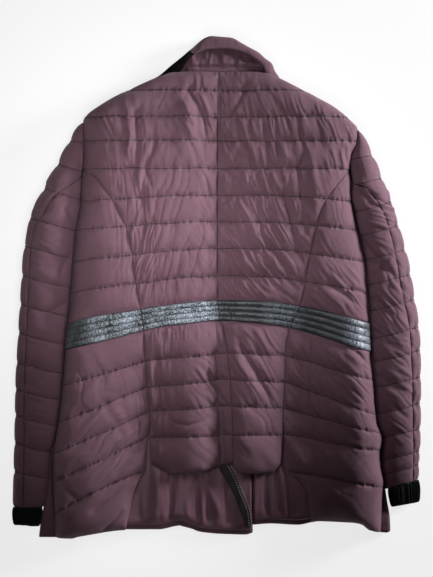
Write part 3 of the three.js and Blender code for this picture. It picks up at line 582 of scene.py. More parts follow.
# where the cloth is spare in one direction: x, y, radius along x, radius along y, direction x, y, amount
PULLS = [
    (66, 205, 58, 62, 0.97, 0.24, 0.020), (72, 110, 58, 46, 0.91, 0.41, 0.028), (78, 35, 66, 42, 0.76, 0.65, 0.034),
    (22, 30, 20, 40, 0.90, 0.43, 0.020), (178, -14, 46, 40, 0.73, 0.67, 0.030), (200, -120, 46, 60, 0.76, 0.65, 0.028),
    (150, -150, 40, 90, 0.88, 0.48, 0.025), (-116, 170, 36, 110, 1.0, 0.0, 0.018), (-30, 270, 36, 60, 0.92, 0.38, 0.022),
    (-110, 60, 30, 70, 0.96, -0.28, 0.022), (-4, -140, 30, 60, 0.80, 0.60, 0.035), (60, -110, 34, 60, 0.85, 0.52, 0.025),
    (-170, -190, 60, 70, 0.66, -0.75, 0.012), (-130, -250, 50, 60, 0.72, -0.69, 0.012), (-92, -150, 16, 90, 1.0, 0.0, 0.040),
    (-60, -70, 60, 24, 1.0, 0.0, 0.035), (60, 15, 60, 25, 0.80, 0.60, 0.030), (-50, 10, 60, 26, 0.96, 0.28, 0.030)]


def pull_fields(x, y):
    return [(amt * np.exp(-((x - cx) / rx) ** 2 - ((y - cy) / ry) ** 2), nx, ny) for cx, cy, rx, ry, nx, ny, amt in PULLS]


def back_panel(node, left, right, lines, rolls, seed=0, step=1.6, thick=WALL, puff=1.3):
    """A padded panel of the back between two seams; lines run from its lower edge to its upper one.
    rolls: (radius, drop) at the left, right, lower and upper edge."""
    ends = [(float(left(l(np.array([0.0]))[0])), float(right(l(np.array([1.0]))[0]))) for l in lines]
    width = max(b - a for a, b in ends)
    n = max(12, int(width / step)) // 4 * 4 + 1
    u = spread(n, 0.2)
    Y = np.stack([l(u) for l in lines])
    for k in range(1, len(lines) - 1):
        Y[k] += 0.9 * noise(lerp(left(Y[k]), right(Y[k]), u) / 26, k * 3.3, seed // 2 + 60) * np.sin(np.pi * u) ** 0.3
    per = [max(6, int(float(np.max(np.abs(Y[k + 1] - Y[k]))) / step)) // 2 * 2 for k in range(len(lines) - 1)]
    K, Fr = [], []
    for k, c in enumerate(per):
        for i in range(c):
            K.append(k)
            Fr.append(i / c)
    K.append(len(lines) - 2)
    Fr.append(1.0)
    K, Fr = np.array(K), np.array(Fr)
    y = lerp(Y[K], Y[K + 1], Fr[:, None])
    xl, xr = left(y) + SEAM, right(y) - SEAM
    x = lerp(xl, xr, u[None, :])
    f = np.broadcast_to(Fr[:, None], y.shape)
    base = body_base(x, y)
    crease = crease_sum(x, y, CREASES)
    fine = wrinkle_sum(x, y)
    dl, dr = x - xl, xr - x
    db = np.abs(y - y[0:1, :])
    dt = np.abs(y[-1:, :] - y)
    drop = edge_roll(dl, *rolls[0]) + edge_roll(dr, *rolls[1]) + edge_roll(db, *rolls[2]) + edge_roll(dt, *rolls[3])
    floor_z = BASE + 0.6 - np.where(drop > 8, 5, 0)
    P0 = np.stack([x, y, np.maximum(base - drop + 0.5 * crease, floor_z)], -1)
    N0 = normals(P0)
    N0 *= np.sign(N0[..., 2:])
    line = np.zeros(x.shape, bool)
    at = np.cumsum([0] + per)
    line[at[1:-1]] = True
    edge = np.zeros(x.shape, bool)
    edge[0] = edge[-1] = True
    edge[:, 0] = edge[:, -1] = True
    eu = clamp(0.007 + 0.013 * noise(x / 24, y / 40, seed + 7), 0.001, 0.03)
    ev = clamp(0.004 + 0.004 * noise(x / 50, y / 40, seed + 8), 0.001, 0.02)
    D = settle(P0, N0, f, line, edge, puff, eu, ev, pull_fields(x, y), seed)
    top = P0 + D
    kk = K[:, None] + np.where(f > 0.5, 1, 0)
    pucker = np.exp(-((np.minimum(f, 1 - f) * np.abs(Y[K + 1] - Y[K]).mean(1)[:, None]) / 2.8) ** 2)
    pucker = pucker * np.maximum(1.1 + 1.9 * noise(x / 2.7, kk * 7.7, seed + 40) + 0.8 * noise(x / 7, kk * 3.1, seed + 44), -0.2)
    soft_edge = ease(np.minimum(np.minimum(dl, dr), np.minimum(db, dt)) / 5)
    top[..., 2] += 0.8 * crease + fine * soft_edge - pucker * ease(np.minimum(db, dt) / 3)
    top[..., 2] = np.maximum(top[..., 2], floor_z - 0.3)
    low = np.minimum(np.maximum(BASE, base - thick), top[..., 2] - 0.8)
    ob = closed_wall(node + "_cloth", top, np.stack([x, y, low], -1))
    nr = normals(top)
    for r in at[1:-1]:
        stitch_row(top[r], nr[r])
    finish_piece(ob, node)
    return ob, top


def upper_lines(left, right, last):
    out = []
    for k, (yq, dip) in enumerate(q for q in QUILT_UPPER if q[0] <= last):
        if k == 0:
            out.append(along(lambda x: band_top(x) + SEAM, left, right, -30.0))
        else:
            out.append(lambda u, yq=yq, dip=dip: yq + (band_top(lerp(left(yq), right(yq), u)) - band_top(3)) * dip)
    return out


def lower_lines(left, right, a, b, ends, hem):
    out = [along(lambda x: band_bottom(x) - SEAM, left, right, -75.0)]
    for q in QUILT_LOWER + ends:
        out.append(lambda u, q=q: lerp(q[a], q[b], np.asarray(u, float)))
    out.append(along(hem, left, right, -320.0))
    return out[::-1]


SIDE = (13.0, 10.0)
SEW = (2.0, 1.0)
FREE = (7.0, 6.0)
TOPS = (4.0, 3.0)

back_panel("back_centre_left", princess_l, centre, upper_lines(princess_l, centre, 330), (SEW, SEW, SEW, TOPS), seed=1)
back_panel("back_centre_right", centre, princess_r, upper_lines(centre, princess_r, 330), (SEW, SEW, SEW, TOPS), seed=2)
back_panel("back_side_left", edge_l, princess_l, upper_lines(edge_l, princess_l, 181), (SIDE, SEW, SEW, SEW), seed=3)
back_panel("back_side_right", princess_r, edge_r, upper_lines(princess_r, edge_r, 181), (SEW, SIDE, SEW, SEW), seed=4)
back_panel("peplum_centre_left", peplum_l, centre, lower_lines(peplum_l, centre, 1, 2, [], hem_back_l), (SEW, SEW, FREE, SEW), seed=5)
back_panel("peplum_centre_right", centre, peplum_r, lower_lines(centre, peplum_r, 2, 3, [], hem_back_r), (SEW, SEW, FREE, SEW), seed=6)
back_panel("peplum_side_left", edge_l, princess_l, lower_lines(edge_l, princess_l, 0, 1, QUILT_SIDE_END, lambda x: hem_front_l(x) + 1), (SIDE, SEW, FREE, SEW), seed=7)
back_panel("peplum_side_right", princess_r, edge_r, lower_lines(princess_r, edge_r, 3, 4, QUILT_SIDE_END, lambda x: hem_front_r(x) + 1), (SEW, SIDE, FREE, SEW), seed=8)


def band_piece(node, left, right, seed):
    """A length of the waist band: four rows of gathers between lines of elastic."""
    k_at = lambda k: along(lambda x: lerp(band_bottom(x) + SEAM, band_top(x) - SEAM, k), left, right, -50.0)
    n = max(24, int(float(np.max(right(np.array([-50.0])) - left(np.array([-50.0])))) / 0.7)) // 4 * 4 + 1
    u = np.linspace(0, 1, n)
    per = 10
    rows = np.linspace(0, 1, 4 * per + 1)
    y = np.stack([k_at(k)(u) for k in rows])
    x = lerp(left(y) + SEAM, right(y) - SEAM, u[None, :])
    f4 = np.broadcast_to((rows * 4)[:, None], y.shape)
    f = f4 - np.floor(f4)
    k = np.minimum(np.floor(f4), 3)
    base = body_base(x, y) + 1.0
    puff = (clamp(4 * f * (1 - f), 0, 1)) ** 0.45
    g = noise(x / 1.5, k * 9.1 + f * 1.6, seed) + 0.7 * noise(x / 2.6, k * 4.4 + f * 1.2, seed + 3)
    z = base + 2.2 * puff + 0.38 * g * (0.35 + 0.65 * puff) + 0.4 * noise(x / 11, k * 6.1, seed + 9) * puff + 0.7 * noise(x / 30, y / 30, seed)
    dl, dr = x - x[:, :1], x[:, -1:] - x
    z = z - edge_roll(dl, 2.0, 1.2) - edge_roll(dr, 2.0, 1.2)
    z = z - edge_roll(np.abs(y - y[0:1]), 2.0, 1.6) - edge_roll(np.abs(y[-1:] - y), 2.0, 1.6)
    top = np.stack([x, y, z], -1)
    under = np.stack([x, y, np.maximum(BASE, base - 4)], -1)
    ob = closed_wall(node + "_cloth", top, under)
    nr = normals(top)
    for r in (1, 2, 3):
        stitch_row(top[r * per], nr[r * per], pitch=2.6)
    finish_piece(ob, node)
    return ob


band_piece("waist_band_side_left", edge_l, princess_l, 31)
band_piece("waist_band_centre_left", princess_l, centre, 32)
band_piece("waist_band_centre_right", centre, princess_r, 33)
band_piece("waist_band_side_right", princess_r, edge_r, 34)


def flat_piece(node, left, right, hem, z0, z1, y_top, shape, step=2.6, roll=(5, 4)):
    """A front or its lining: a grid from hem to neck."""
    first = along(hem, left, right, -370.0)
    ys = np.concatenate([np.linspace(0, 0.36, 116), np.linspace(0.36, 1, 92)[1:]])
    n = int(300 / step) // 4 * 4 + 1
    u = spread(n, 0.3)
    y0 = first(u)
    y = lerp(y0[None, :], y_top, ys[:, None])
    x = lerp(left(y), right(y), u[None, :])
    z = np.full_like(x, z1)
    z = z + shape(x, y, y0[None, :])
    dl, dr = x - x[:, :1], x[:, -1:] - x
    db = y - y[0:1]
    z = z - edge_roll(dl, *roll) - edge_roll(dr, *roll) - edge_roll(db, *roll) - edge_roll(y_top - y, *roll)
    z = np.maximum(z, z0 + 0.6)
    ob = closed_wall(node + "_cloth", np.stack([x, y, z], -1), np.stack([x, y, np.full_like(x, z0)], -1), step=6)
    finish_piece(ob, node)
    return ob, np.stack([x, y, z], -1)


def front_shape(x, y, y0):
    edge = ease((y0 + 16 - y) / 8)
    d = y - y0
    return -0.5 * np.exp(-((d - 4.0) / 0.9) ** 2) + 0.5 * fbm(x / 18, y / 24, 41, 2) * ease(d / 5) - 0.6 * edge


def lining_shape(x, y, y0):
    """Long soft folds that run down to the hem."""
    show = ease((-215 - y) / 40)
    d = y - y0
    f = noise(x / 15 + 0.2 * np.sin(y / 23), y / 160, 51) * 3.4 + noise(x / 7.5 + 0.1 * np.sin(y / 11), y / 70, 52) * 1.5
    f = f + crease_sum(x, y, LINING_FOLDS) / np.maximum(ease(d / 16), 0.2)
    return show * (2.2 + 1.25 * f * ease(d / 16)) * ease((d + 3) / 14) * (1 - 0.3 * ease(x / 100))


INSET = 0.3
flat_piece("front_left", lambda y: outline_l(y) + INSET, lambda y: meet(y) - 0.05, hem_front_l, 0.0, FRONT_T, 322.0, front_shape)
flat_piece("front_right", lambda y: meet(y) + 0.05, lambda y: outline_r(y) - INSET, hem_front_r, 0.0, FRONT_T, 322.0, front_shape)
LINE_Z = FRONT_T + LAY
flat_piece("lining_left", lambda y: edge_l(y) + 5, lambda y: meet(y) - 2, lambda x: hem_front_l(x) + 7.5, LINE_Z - 0.3, LINE_Z + LINING_T, 318.0, lining_shape, roll=(2, 1.0))
flat_piece("lining_right", lambda y: meet(y) + 2, lambda y: edge_r(y) - 5, lambda x: hem_front_r(x) + 7.5, LINE_Z - 0.3, LINE_Z + LINING_T, 318.0, lining_shape, roll=(2, 1.0))


# ---- zip ----------------------------------------------------------------------------------------
def boxes(name, items, bevel=0.25):
    """Many small bevelled blocks in one mesh: (centre, x axis, y axis, z axis, half sizes)."""
    pts, faces = [], []
    unit = [(-1, -1, -1), (1, -1, -1), (1, 1, -1), (-1, 1, -1), (-1, -1, 1), (1, -1, 1), (1, 1, 1), (-1, 1, 1)]
    quads = [(0, 3, 2, 1), (4, 5, 6, 7), (0, 1, 5, 4), (1, 2, 6, 5), (2, 3, 7, 6), (3, 0, 4, 7)]
    for c, ax, ay, az, h in items:
        b = len(pts)
        for sx, sy, sz in unit:
            k = 0.72 if sz > 0 else 1.0
            pts.append(c + ax * (sx * h[0] * k) + ay * (sy * h[1] * k) + az * (sz * h[2]))
        faces += [tuple(b + i for i in q) for q in quads]
    return mesh_object(name, pts, faces, smooth=False)


tape_c, teeth_c = Curve(ZIP, 1), Curve(ZIP, 2)
zy = np.linspace(-367, -259, 64)
zu = np.linspace(0, 1, 13)
zx = lerp(tape_c(zy)[:, None], teeth_c(zy)[:, None] - 2.2, zu[None, :])
zyy = np.broadcast_to(zy[:, None], zx.shape)
zl = LINE_Z + LINING_T + lining_shape(zx, zyy, zyy * 0 - 380.0)
zz = np.maximum(zl, np.median(zl)) + 1.3 + 0.5 * noise(zx / 9, zyy / 18, 61) + 0.8 * np.sin(np.pi * zu)[None, :]
zip_top = np.stack([zx, zyy, zz], -1)
tape = closed_wall("zip_tape_cloth", zip_top, np.stack([zx, zyy, zz - 1.1], -1), step=3)
finish_piece(tape, "zip_tape")
teeth = []
line = np.stack([teeth_c(zy) - 1.4, zy, zz[:, -1] + 0.2], -1)
seg = np.linalg.norm(np.diff(line, axis=0), axis=1)
run = np.concatenate([[0], np.cumsum(seg)])
for t in np.arange(1.0, run[-1] - 1, 3.9):
    k = min(np.searchsorted(run, t) - 1, len(seg) - 1)
    p = lerp(line[k], line[k + 1], (t - run[k]) / seg[k])
    d = (line[k + 1] - line[k]) / seg[k]
    side = np.cross(d, [0, 0, 1.0])
    side /= np.linalg.norm(side)
    upv = np.cross(side, d)
    teeth.append((p + upv * 0.9, d, side, upv, (1.0, 1.2, 0.9)))
    teeth.append((p + upv * 0.9 + d * 1.95 - side * 4.0, d, side, upv, (0.9, 0.95, 0.8)))
zip_teeth = boxes("zip_teeth", teeth)
finish_piece(zip_teeth)


# ---- collar ----------------------------------------------------------------------------------------
def resample(cols, n):
    t = np.linspace(0, len(cols) - 1, n)
    return np.stack([np.interp(t, np.arange(len(cols)), cols[:, k]) for k in range(cols.shape[1])], -1)


def smooth_rows(a, times=3):
    for _ in range(times):
        a[1:-1] = 0.25 * a[:-2] + 0.5 * a[1:-1] + 0.25 * a[2:]
    return a


def collar():
    n = 161
    c = smooth_rows(resample(COLLAR, n), 14)
    lie = 22.0
    rest = 17.0
    # stand, from the neck seam up under the turned-down part
    a, b = int(n * 1.6 / 16), int(n * 15.2 / 16) + 1
    s = c[a:b]
    t = np.linspace(0, 1, 33)[:, None]
    ex, ey = lerp(s[:, 2], s[:, 0], 0.46), lerp(s[:, 3], s[:, 1], 0.46)
    sx = lerp(clamp(s[:, 2] * 1.02, -74, 84)[None, :], ex[None, :], t)
    sy = lerp(326.4, ey[None, :], t)
    sz = lerp(23.0, rest, t) + 0 * sx
    sz = sz + 2.4 * np.exp(-((t - 0.42) / 0.2) ** 2) - 4.4 * np.exp(-((sy - 337.0) / 2.4) ** 2) - 2.0 * ease((336 - sy) / 3)
    w = noise(sx / 8 + 0.03 * (sy - 340), sy / 30, 71) * 1.6 + noise(sx / 4 - 0.04 * (sy - 340), sy / 18, 72) * 0.9
    sz = sz + w * ease(t / 0.3)
    sz = sz - edge_roll(np.abs(sy - 326.4), 4.5, 5.0) - 3.0 * np.exp(-(((sx - 72) / 14) ** 2 + ((sy - 333) / 5) ** 2))
    sz = sz - 5.0 * (1 - ease((sx + 62) / 26)) * ease(t / 0.3)
    ob = closed_wall("collar_stand_cloth", np.stack([sx, sy, sz], -1), np.stack([sx, sy, np.full_like(sx, 1.0)], -1))
    finish_piece(ob, "collar_stand")
    # turned-down part: from its inner edge, over, and down to the surface
    t = np.linspace(0, 1, 41)[:, None]
    fx = lerp(c[:, 2][None, :], c[:, 0][None, :], t)
    fy = lerp(c[:, 3][None, :], c[:, 1][None, :], t)
    width = np.hypot(c[:, 2] - c[:, 0], c[:, 3] - c[:, 1])[None, :]
    fz = lie + 9.5 * np.sqrt(clamp(1 - (clamp(t - 0.25, 0, 1) / 0.78) ** 2, 0, 1)) - 3.0
    flank = 1 - ease((fx + 46) / 24)          # the left side stands on edge and turns away
    fz = lerp(fz, lie + 9.0 - 24.0 * t ** 0.55, flank)
    fz = np.maximum(fz, 3.0)
    fz = fz - edge_roll(t * width, 2.6, 2.2)
    fz = fz + 0.7 * noise(fx / 16, fy / 12, 73) + 0.35 * noise(fx / 5, fy / 9, 74)
    fz = np.where(t > 0.93, lerp(fz, 9.0, ease((t - 0.93) / 0.07)), fz)
    low = np.where(t < 0.52, rest + 2.0, 0.4) + 0 * fx
    low = np.minimum(low, fz - 0.8)
    ob = closed_wall("collar_fall_cloth", np.stack([fx, fy, fz], -1), np.stack([fx, fy, low], -1), step=2)
    finish_piece(ob, "collar_fall")
    # painted shade: the left side, where it stands on edge and turns away from the light, takes a near-black material
    for p in ob.data.polygons:
        c = p.center / MM
        p.material_index = 1 if c.x < -31 and c.y < 352 - 1.1 * (c.x + 31) else 0


collar()


# ---- sleeves ---------------------------------------------------------------------------------------
def sleeve(side, table, seed):
    s = -1.0 if side == "left" else 1.0
    outline = outline_l if side == "left" else outline_r
    outer0, seam0, high = Curve(table, 1), Curve(table, 2), Curve(table, 3)
    tuck = lambda y: s * 2.2 * ease((y - 160) / 50)      # the head's seam allowance, turned in at the armhole
    seam = lambda y: seam0(y) - tuck(y)
    room = lambda y: lerp(0.4, 2.0, clamp((np.abs(outer0(y) - outline(y)) - 8) / 30, 0, 1))
    outer = lambda y: outer0(y) - s * room(y)
    inner = lambda y: outline(y) + s * 0.5 - tuck(y)
    q = QUILT_SLEEVE[side]
    rows = q["rows"][::-1]
    per = [max(8, int(abs(rows[k + 1] - rows[k]) / 1.7)) // 2 * 2 for k in range(len(rows) - 1)]
    K, F = [], []
    for k, c in enumerate(per):
        for i in range(c):
            K.append(k)
            F.append(i / c)
    K.append(len(rows) - 2)
    F.append(1.0)
    K, F = np.array(K), np.array(F)
    at = np.cumsum([0] + per)
    R = np.array(rows, float)
    yr = lerp(R[K], R[K + 1], F)
    width = np.maximum(np.abs(outer(yr) - inner(yr)), 3.0)
    tilt = lerp(q["cuff"], q["tilt"], clamp((yr - rows[0]) / 60, 0, 1)) * clamp((rows[-1] - yr) / 60, 0, 1)
    h = high(yr)
    ts = clamp((seam(yr) - inner(yr)) / (outer(yr) - inner(yr)), 0.03, 0.9)
    body_drop = 1.0 - 0.12 * ease((140 - yr) / 260)      # the side towards the body lies lower

    def profile(t, hh):
        lean = lerp(body_drop[:, None], 1.0, ease(t / 0.7))
        q = clamp(t, 0, 1) ** 0.85
        far = clamp(1 - np.abs(2 * q - 1) ** 3, 0, 1) ** 0.6
        near = clamp(1 - np.abs(2 * q - 1) ** 2, 0, 1) ** 0.8
        near = np.maximum(near, 0.85 * ease((yr[:, None] - 165) / 45))      # the head stands against the armhole
        return 7 + (hh * lean - 7) * lerp(near, far, ease((q - 0.3) / 0.3))

    def build(node, T, z, keep, pin_cols, flip):
        W, yy = width[:keep, None], yr[:keep, None]
        y = yy + tilt[:keep, None] * W * (T[:keep] - 0.5)
        wave = 0.9 * noise(yy * 0 + T[:keep] * W / 22, K[:keep, None] * 5.1 + F[:keep, None], seed + 3)
        y = y + wave
        x = lerp(inner(y), outer(y), T[:keep])
        P0 = np.stack([x, y, np.maximum(z[:keep], 0.2)], -1)
        N0 = normals(P0)
        mid = np.stack([(inner(y) + outer(y)) / 2, y, 0 * x + h[:keep, None] * 0.45], -1)
        N0 = N0 * np.sign(((P0 - mid) * N0).sum(-1).mean())
        f = np.broadcast_to(F[:keep, None], x.shape)
        line = np.zeros(x.shape, bool)
        line[at[(at > 0) & (at < keep - 1)]] = True
        edge = np.zeros(x.shape, bool)
        edge[0] = edge[-1] = True
        edge[:, 0] = edge[:, -1] = True
        edge[:, pin_cols] = True
        arc = x + P0[..., 2]
        eu = clamp(0.020 + 0.02 * noise(arc / 25, y / 40, seed + 7), 0.004, 0.05)
        ev = clamp(0.010 + 0.008 * noise(arc / 40, y / 40, seed + 8), 0.003, 0.03)
        slim = clamp((W - 8) / 30, 0, 1)
        D = settle(P0, N0, f, line, edge, 1.8, eu * slim, ev * slim, [], seed + (0 if node == "top" else 31), press=0.003)
        up = ease((P0[..., 2] - 9) / 8) * ease(np.minimum(T[:keep] - T[:keep].min(1, keepdims=True), 1) * W / 4)
        up = up * ease(np.minimum(np.arange(keep), keep - 1 - np.arange(keep))[:, None] / 4)
        extra = (wrinkle_sum(x, y) + crease_sum(x, y, SLEEVE_CREASES)) * up
        return P0 + D + N0 * extra[..., None], N0, P0, mid

    m = len(yr)
    keep = int(np.argmax(np.abs(seam(yr) - inner(yr)) < 1.5)) or m
    keep = keep // 2 * 2 + 1 if keep < m else m
    # under sleeve: from the seam to the edge beside the body
    T = ts[:, None] * (1 - spread(61, 0.25))[None, :] - 0.001
    z = profile(T, h[:, None]) - edge_roll((ts[:, None] - T) * width[:, None], 1.8, 1.0)
    T[:, -1] = -np.minimum(1.5 / width, 0.05)
    z[:, -1] = np.minimum(z[:, -1], 7)
    P, N0, P0, mid = build("under", T, np.maximum(z, 6.4), keep, [], s)
    P[..., 2] = np.maximum(P[..., 2], 6.2)
    Q = P.copy()
    Q[..., 2] = np.minimum(np.maximum(P0[..., 2] - 6, 5.2), P[..., 2] - 0.7)
    if s > 0:
        P, Q, N0 = P[:, ::-1], Q[:, ::-1], N0[:, ::-1]
    ob = closed_wall(f"sleeve_under_{side}_cloth", P, Q)
    finish_piece(ob, f"sleeve_under_{side}")
    for r in at[(at > 0) & (at < keep - 1)]:
        stitch_row(P[r], N0[r])
    # top sleeve: the floor side, round the outer edge, and back over the top to the seam
    n1, n2, n3 = 12, 49, 32
    Tf = lerp(-np.minimum(3.0 / width, 0.1)[:, None], 0.9, np.linspace(0, 1, n1)[None, :])
    zf = np.zeros_like(Tf)
    h0 = profile(0 * yr[:, None] + 0.9, h[:, None])
    phi = np.pi * (np.linspace(0, 1, n2)[None, :] - 0.5)
    Tr = 0.9 + 0.1 * np.cos(phi) ** 0.8 + 0 * yr[:, None]
    zr = h0 * (0.5 + 0.5 * np.sin(phi))
    T3 = lerp(0.9, ts[:, None], np.linspace(0, 1, n3)[None, 1:]) + 0.002
    z3 = profile(T3, h[:, None]) - edge_roll(np.abs(T3 - ts[:, None]) * width[:, None], 1.8, 1.0)
    T = np.concatenate([Tf, Tr[:, 1:], T3], 1)
    z = np.concatenate([zf, zr[:, 1:], z3], 1)
    P, N0, P0, mid = build("top", T, z, m, list(range(n1)), -s)
    P[..., 2] = np.maximum(P[..., 2], 0.0)
    wall = np.minimum(4.0, 0.2 * width)[:, None]
    Q = P0 - N0 * wall[..., None]
    if s > 0:
        P, Q, N0 = P[:, ::-1], Q[:, ::-1], N0[:, ::-1]
    ob = closed_wall(f"sleeve_top_{side}_cloth", P[:, ::-1], Q[:, ::-1])
    finish_piece(ob, f"sleeve_top_{side}")
    for r in at[1:-1]:
        row, rn = P[r], N0[r]
        vis = row[:, 2] > 2.5
        stitch_row(row[vis], rn[vis])


sleeve("left", SLEEVE_L, 81)
sleeve("right", SLEEVE_R, 91)


# ---- cuffs ---------------------------------------------------------------------------------------------
def cuff(side, rows):
    """Rib knit: ridges along the arm on a flattened ring."""
    r = np.array(rows, float)       # inner, outer, y at the inner end, y at the outer end, high
    n, m = 220, 21
    a = np.linspace(0, 2 * np.pi, n, endpoint=False)
    v = np.linspace(0, 1, m)
    cols = [np.interp(v, np.linspace(0, 1, len(r)), r[:, k])[:, None] for k in range(5)]
    rings = []
    for w, rib in ((0.0, 0.55), (3.0, 0.2)):
        cx, sz = np.cos(a)[None, :], np.sin(a)[None, :]
        half = np.abs(cols[1] - cols[0]) / 2 - w
        ridge = rib * np.cos(a * 42)[None, :]
        bulge = 0.8 * np.sin(np.pi * v)[:, None] - 0.9 * np.exp(-(v / 0.12) ** 2)[:, None] - 1.2 * np.exp(-((1 - v) / 0.06) ** 2)[:, None]
        x = (cols[0] + cols[1]) / 2 + (half + ridge + bulge) * np.sign(cx) * np.abs(cx) ** 0.6
        z = cols[4] / 2 + (cols[4] / 2 - w + np.where(sz > 0, ridge + bulge, 0)) * np.sign(sz) * np.abs(sz) ** 0.6
        y = lerp(cols[2], cols[3], clamp((x - cols[0]) / (cols[1] - cols[0]), 0, 1))
        y = y + 0.5 * noise(x / 9, z / 9, 95) * v[:, None]
        rings.append(np.stack([x, y, np.maximum(z, 0.1)], -1))
    A, B = rings
    idx = np.arange(m * n).reshape(m, n)
    idb = idx + m * n
    nx = np.roll(idx, -1, 1)
    nxb = np.roll(idb, -1, 1)
    faces = np.stack([idx[:-1], idx[1:], nx[1:], nx[:-1]], -1).reshape(-1, 4).tolist()
    faces += np.stack([idb[:-1], nxb[:-1], nxb[1:], idb[1:]], -1).reshape(-1, 4).tolist()
    faces += np.stack([idx[0], nx[0], nxb[0], idb[0]], -1).tolist()
    faces += np.stack([idx[-1], idb[-1], nxb[-1], nx[-1]], -1).tolist()
    ob = mesh_object(f"cuff_{side}_knit", np.concatenate([A.reshape(-1, 3), B.reshape(-1, 3)]), faces)
    bpy.context.view_layer.objects.active = ob
    import bmesh
    bm = bmesh.new()
    bm.from_mesh(ob.data)
    bmesh.ops.recalc_face_normals(bm, faces=bm.faces)
    bm.to_mesh(ob.data)
    bm.free()
    finish_piece(ob, f"cuff_{side}")


cuff("left", [(-266.0, -311.5, -337.2, -337.2, 22), (-268.4, -311, -352, -351, 20), (-270.4, -310, -366, -364, 18)])
cuff("right", [(263.5, 311, -309.0, -295, 22), (266.0, 312, -322, -311, 20), (269, 312, -337, -328, 18)])

# ---- stitches: one mesh of short threads -------------------------------------------------------------
items = []
for p, d, nrm in STITCHES:
    side = np.cross(nrm, d)
    side /= max(np.linalg.norm(side), 1e-9)
    items.append((p, d, side, np.cross(d, side), (1.95, 0.98, 0.4)))
thread = boxes("stitch_threads", items)
finish_piece(thread)


# ---- materials --------------------------------------------------------------------------------------------
def cloth_material(name, dark, light, rough, weave=900.0, weave_bump=0.12, sheen=0.25, sheen_tint=(1, 1, 1), spec=0.4, vary=0.5):
    m = bpy.data.materials.new(name)
    m.use_nodes = True
    t = m.node_tree
    b = t.nodes["Principled BSDF"]
    co = t.nodes.new("ShaderNodeTexCoord")
    big = t.nodes.new("ShaderNodeTexNoise")
    big.inputs["Scale"].default_value = 9.0
    big.inputs["Detail"].default_value = 9.0
    big.inputs["Roughness"].default_value = 0.7
    t.links.new(co.outputs["Object"], big.inputs["Vector"])
    ramp = t.nodes.new("ShaderNodeValToRGB")
    ramp.color_ramp.elements[0].position = 0.5 - 0.5 * vary
    ramp.color_ramp.elements[1].position = 0.5 + 0.5 * vary
    ramp.color_ramp.elements[0].color = (*dark, 1)
    ramp.color_ramp.elements[1].color = (*light, 1)
    t.links.new(big.outputs["Fac"], ramp.inputs["Fac"])
    t.links.new(ramp.outputs["Color"], b.inputs["Base Color"])
    # plain weave: two crossed sets of threads
    wx = t.nodes.new("ShaderNodeTexWave")
    wx.bands_direction = "X"
    wx.inputs["Scale"].default_value = weave
    wy = t.nodes.new("ShaderNodeTexWave")
    wy.bands_direction = "Y"
    wy.inputs["Scale"].default_value = weave
    t.links.new(co.outputs["Object"], wx.inputs["Vector"])
    t.links.new(co.outputs["Object"], wy.inputs["Vector"])
    mul = t.nodes.new("ShaderNodeMath")
    mul.operation = "MULTIPLY"
    t.links.new(wx.outputs["Fac"], mul.inputs[0])
    t.links.new(wy.outputs["Fac"], mul.inputs[1])
    fine = t.nodes.new("ShaderNodeTexNoise")
    fine.inputs["Scale"].default_value = 160.0
    fine.inputs["Detail"].default_value = 3.0
    t.links.new(co.outputs["Object"], fine.inputs["Vector"])
    add = t.nodes.new("ShaderNodeMath")
    add.operation = "MULTIPLY_ADD"
    add.inputs[1].default_value = 0.35
    t.links.new(mul.outputs[0], add.inputs[0])
    t.links.new(fine.outputs["Fac"], add.inputs[2])
    bump = t.nodes.new("ShaderNodeBump")
    bump.inputs["Strength"].default_value = weave_bump
    bump.inputs["Distance"].default_value = 0.001
    t.links.new(add.outputs[0], bump.inputs["Height"])
    t.links.new(bump.outputs["Normal"], b.inputs["Normal"])
    rr = t.nodes.new("ShaderNodeMapRange")
    rr.inputs["To Min"].default_value = rough - 0.06
    rr.inputs["To Max"].default_value = rough + 0.08
    t.links.new(fine.outputs["Fac"], rr.inputs["Value"])
    t.links.new(rr.outputs["Result"], b.inputs["Roughness"])
    b.inputs["Sheen Weight"].default_value = sheen
    b.inputs["Sheen Roughness"].default_value = 0.4
    b.inputs["Sheen Tint"].default_value = (*sheen_tint, 1)
    b.inputs["Specular IOR Level"].default_value = spec
    return m


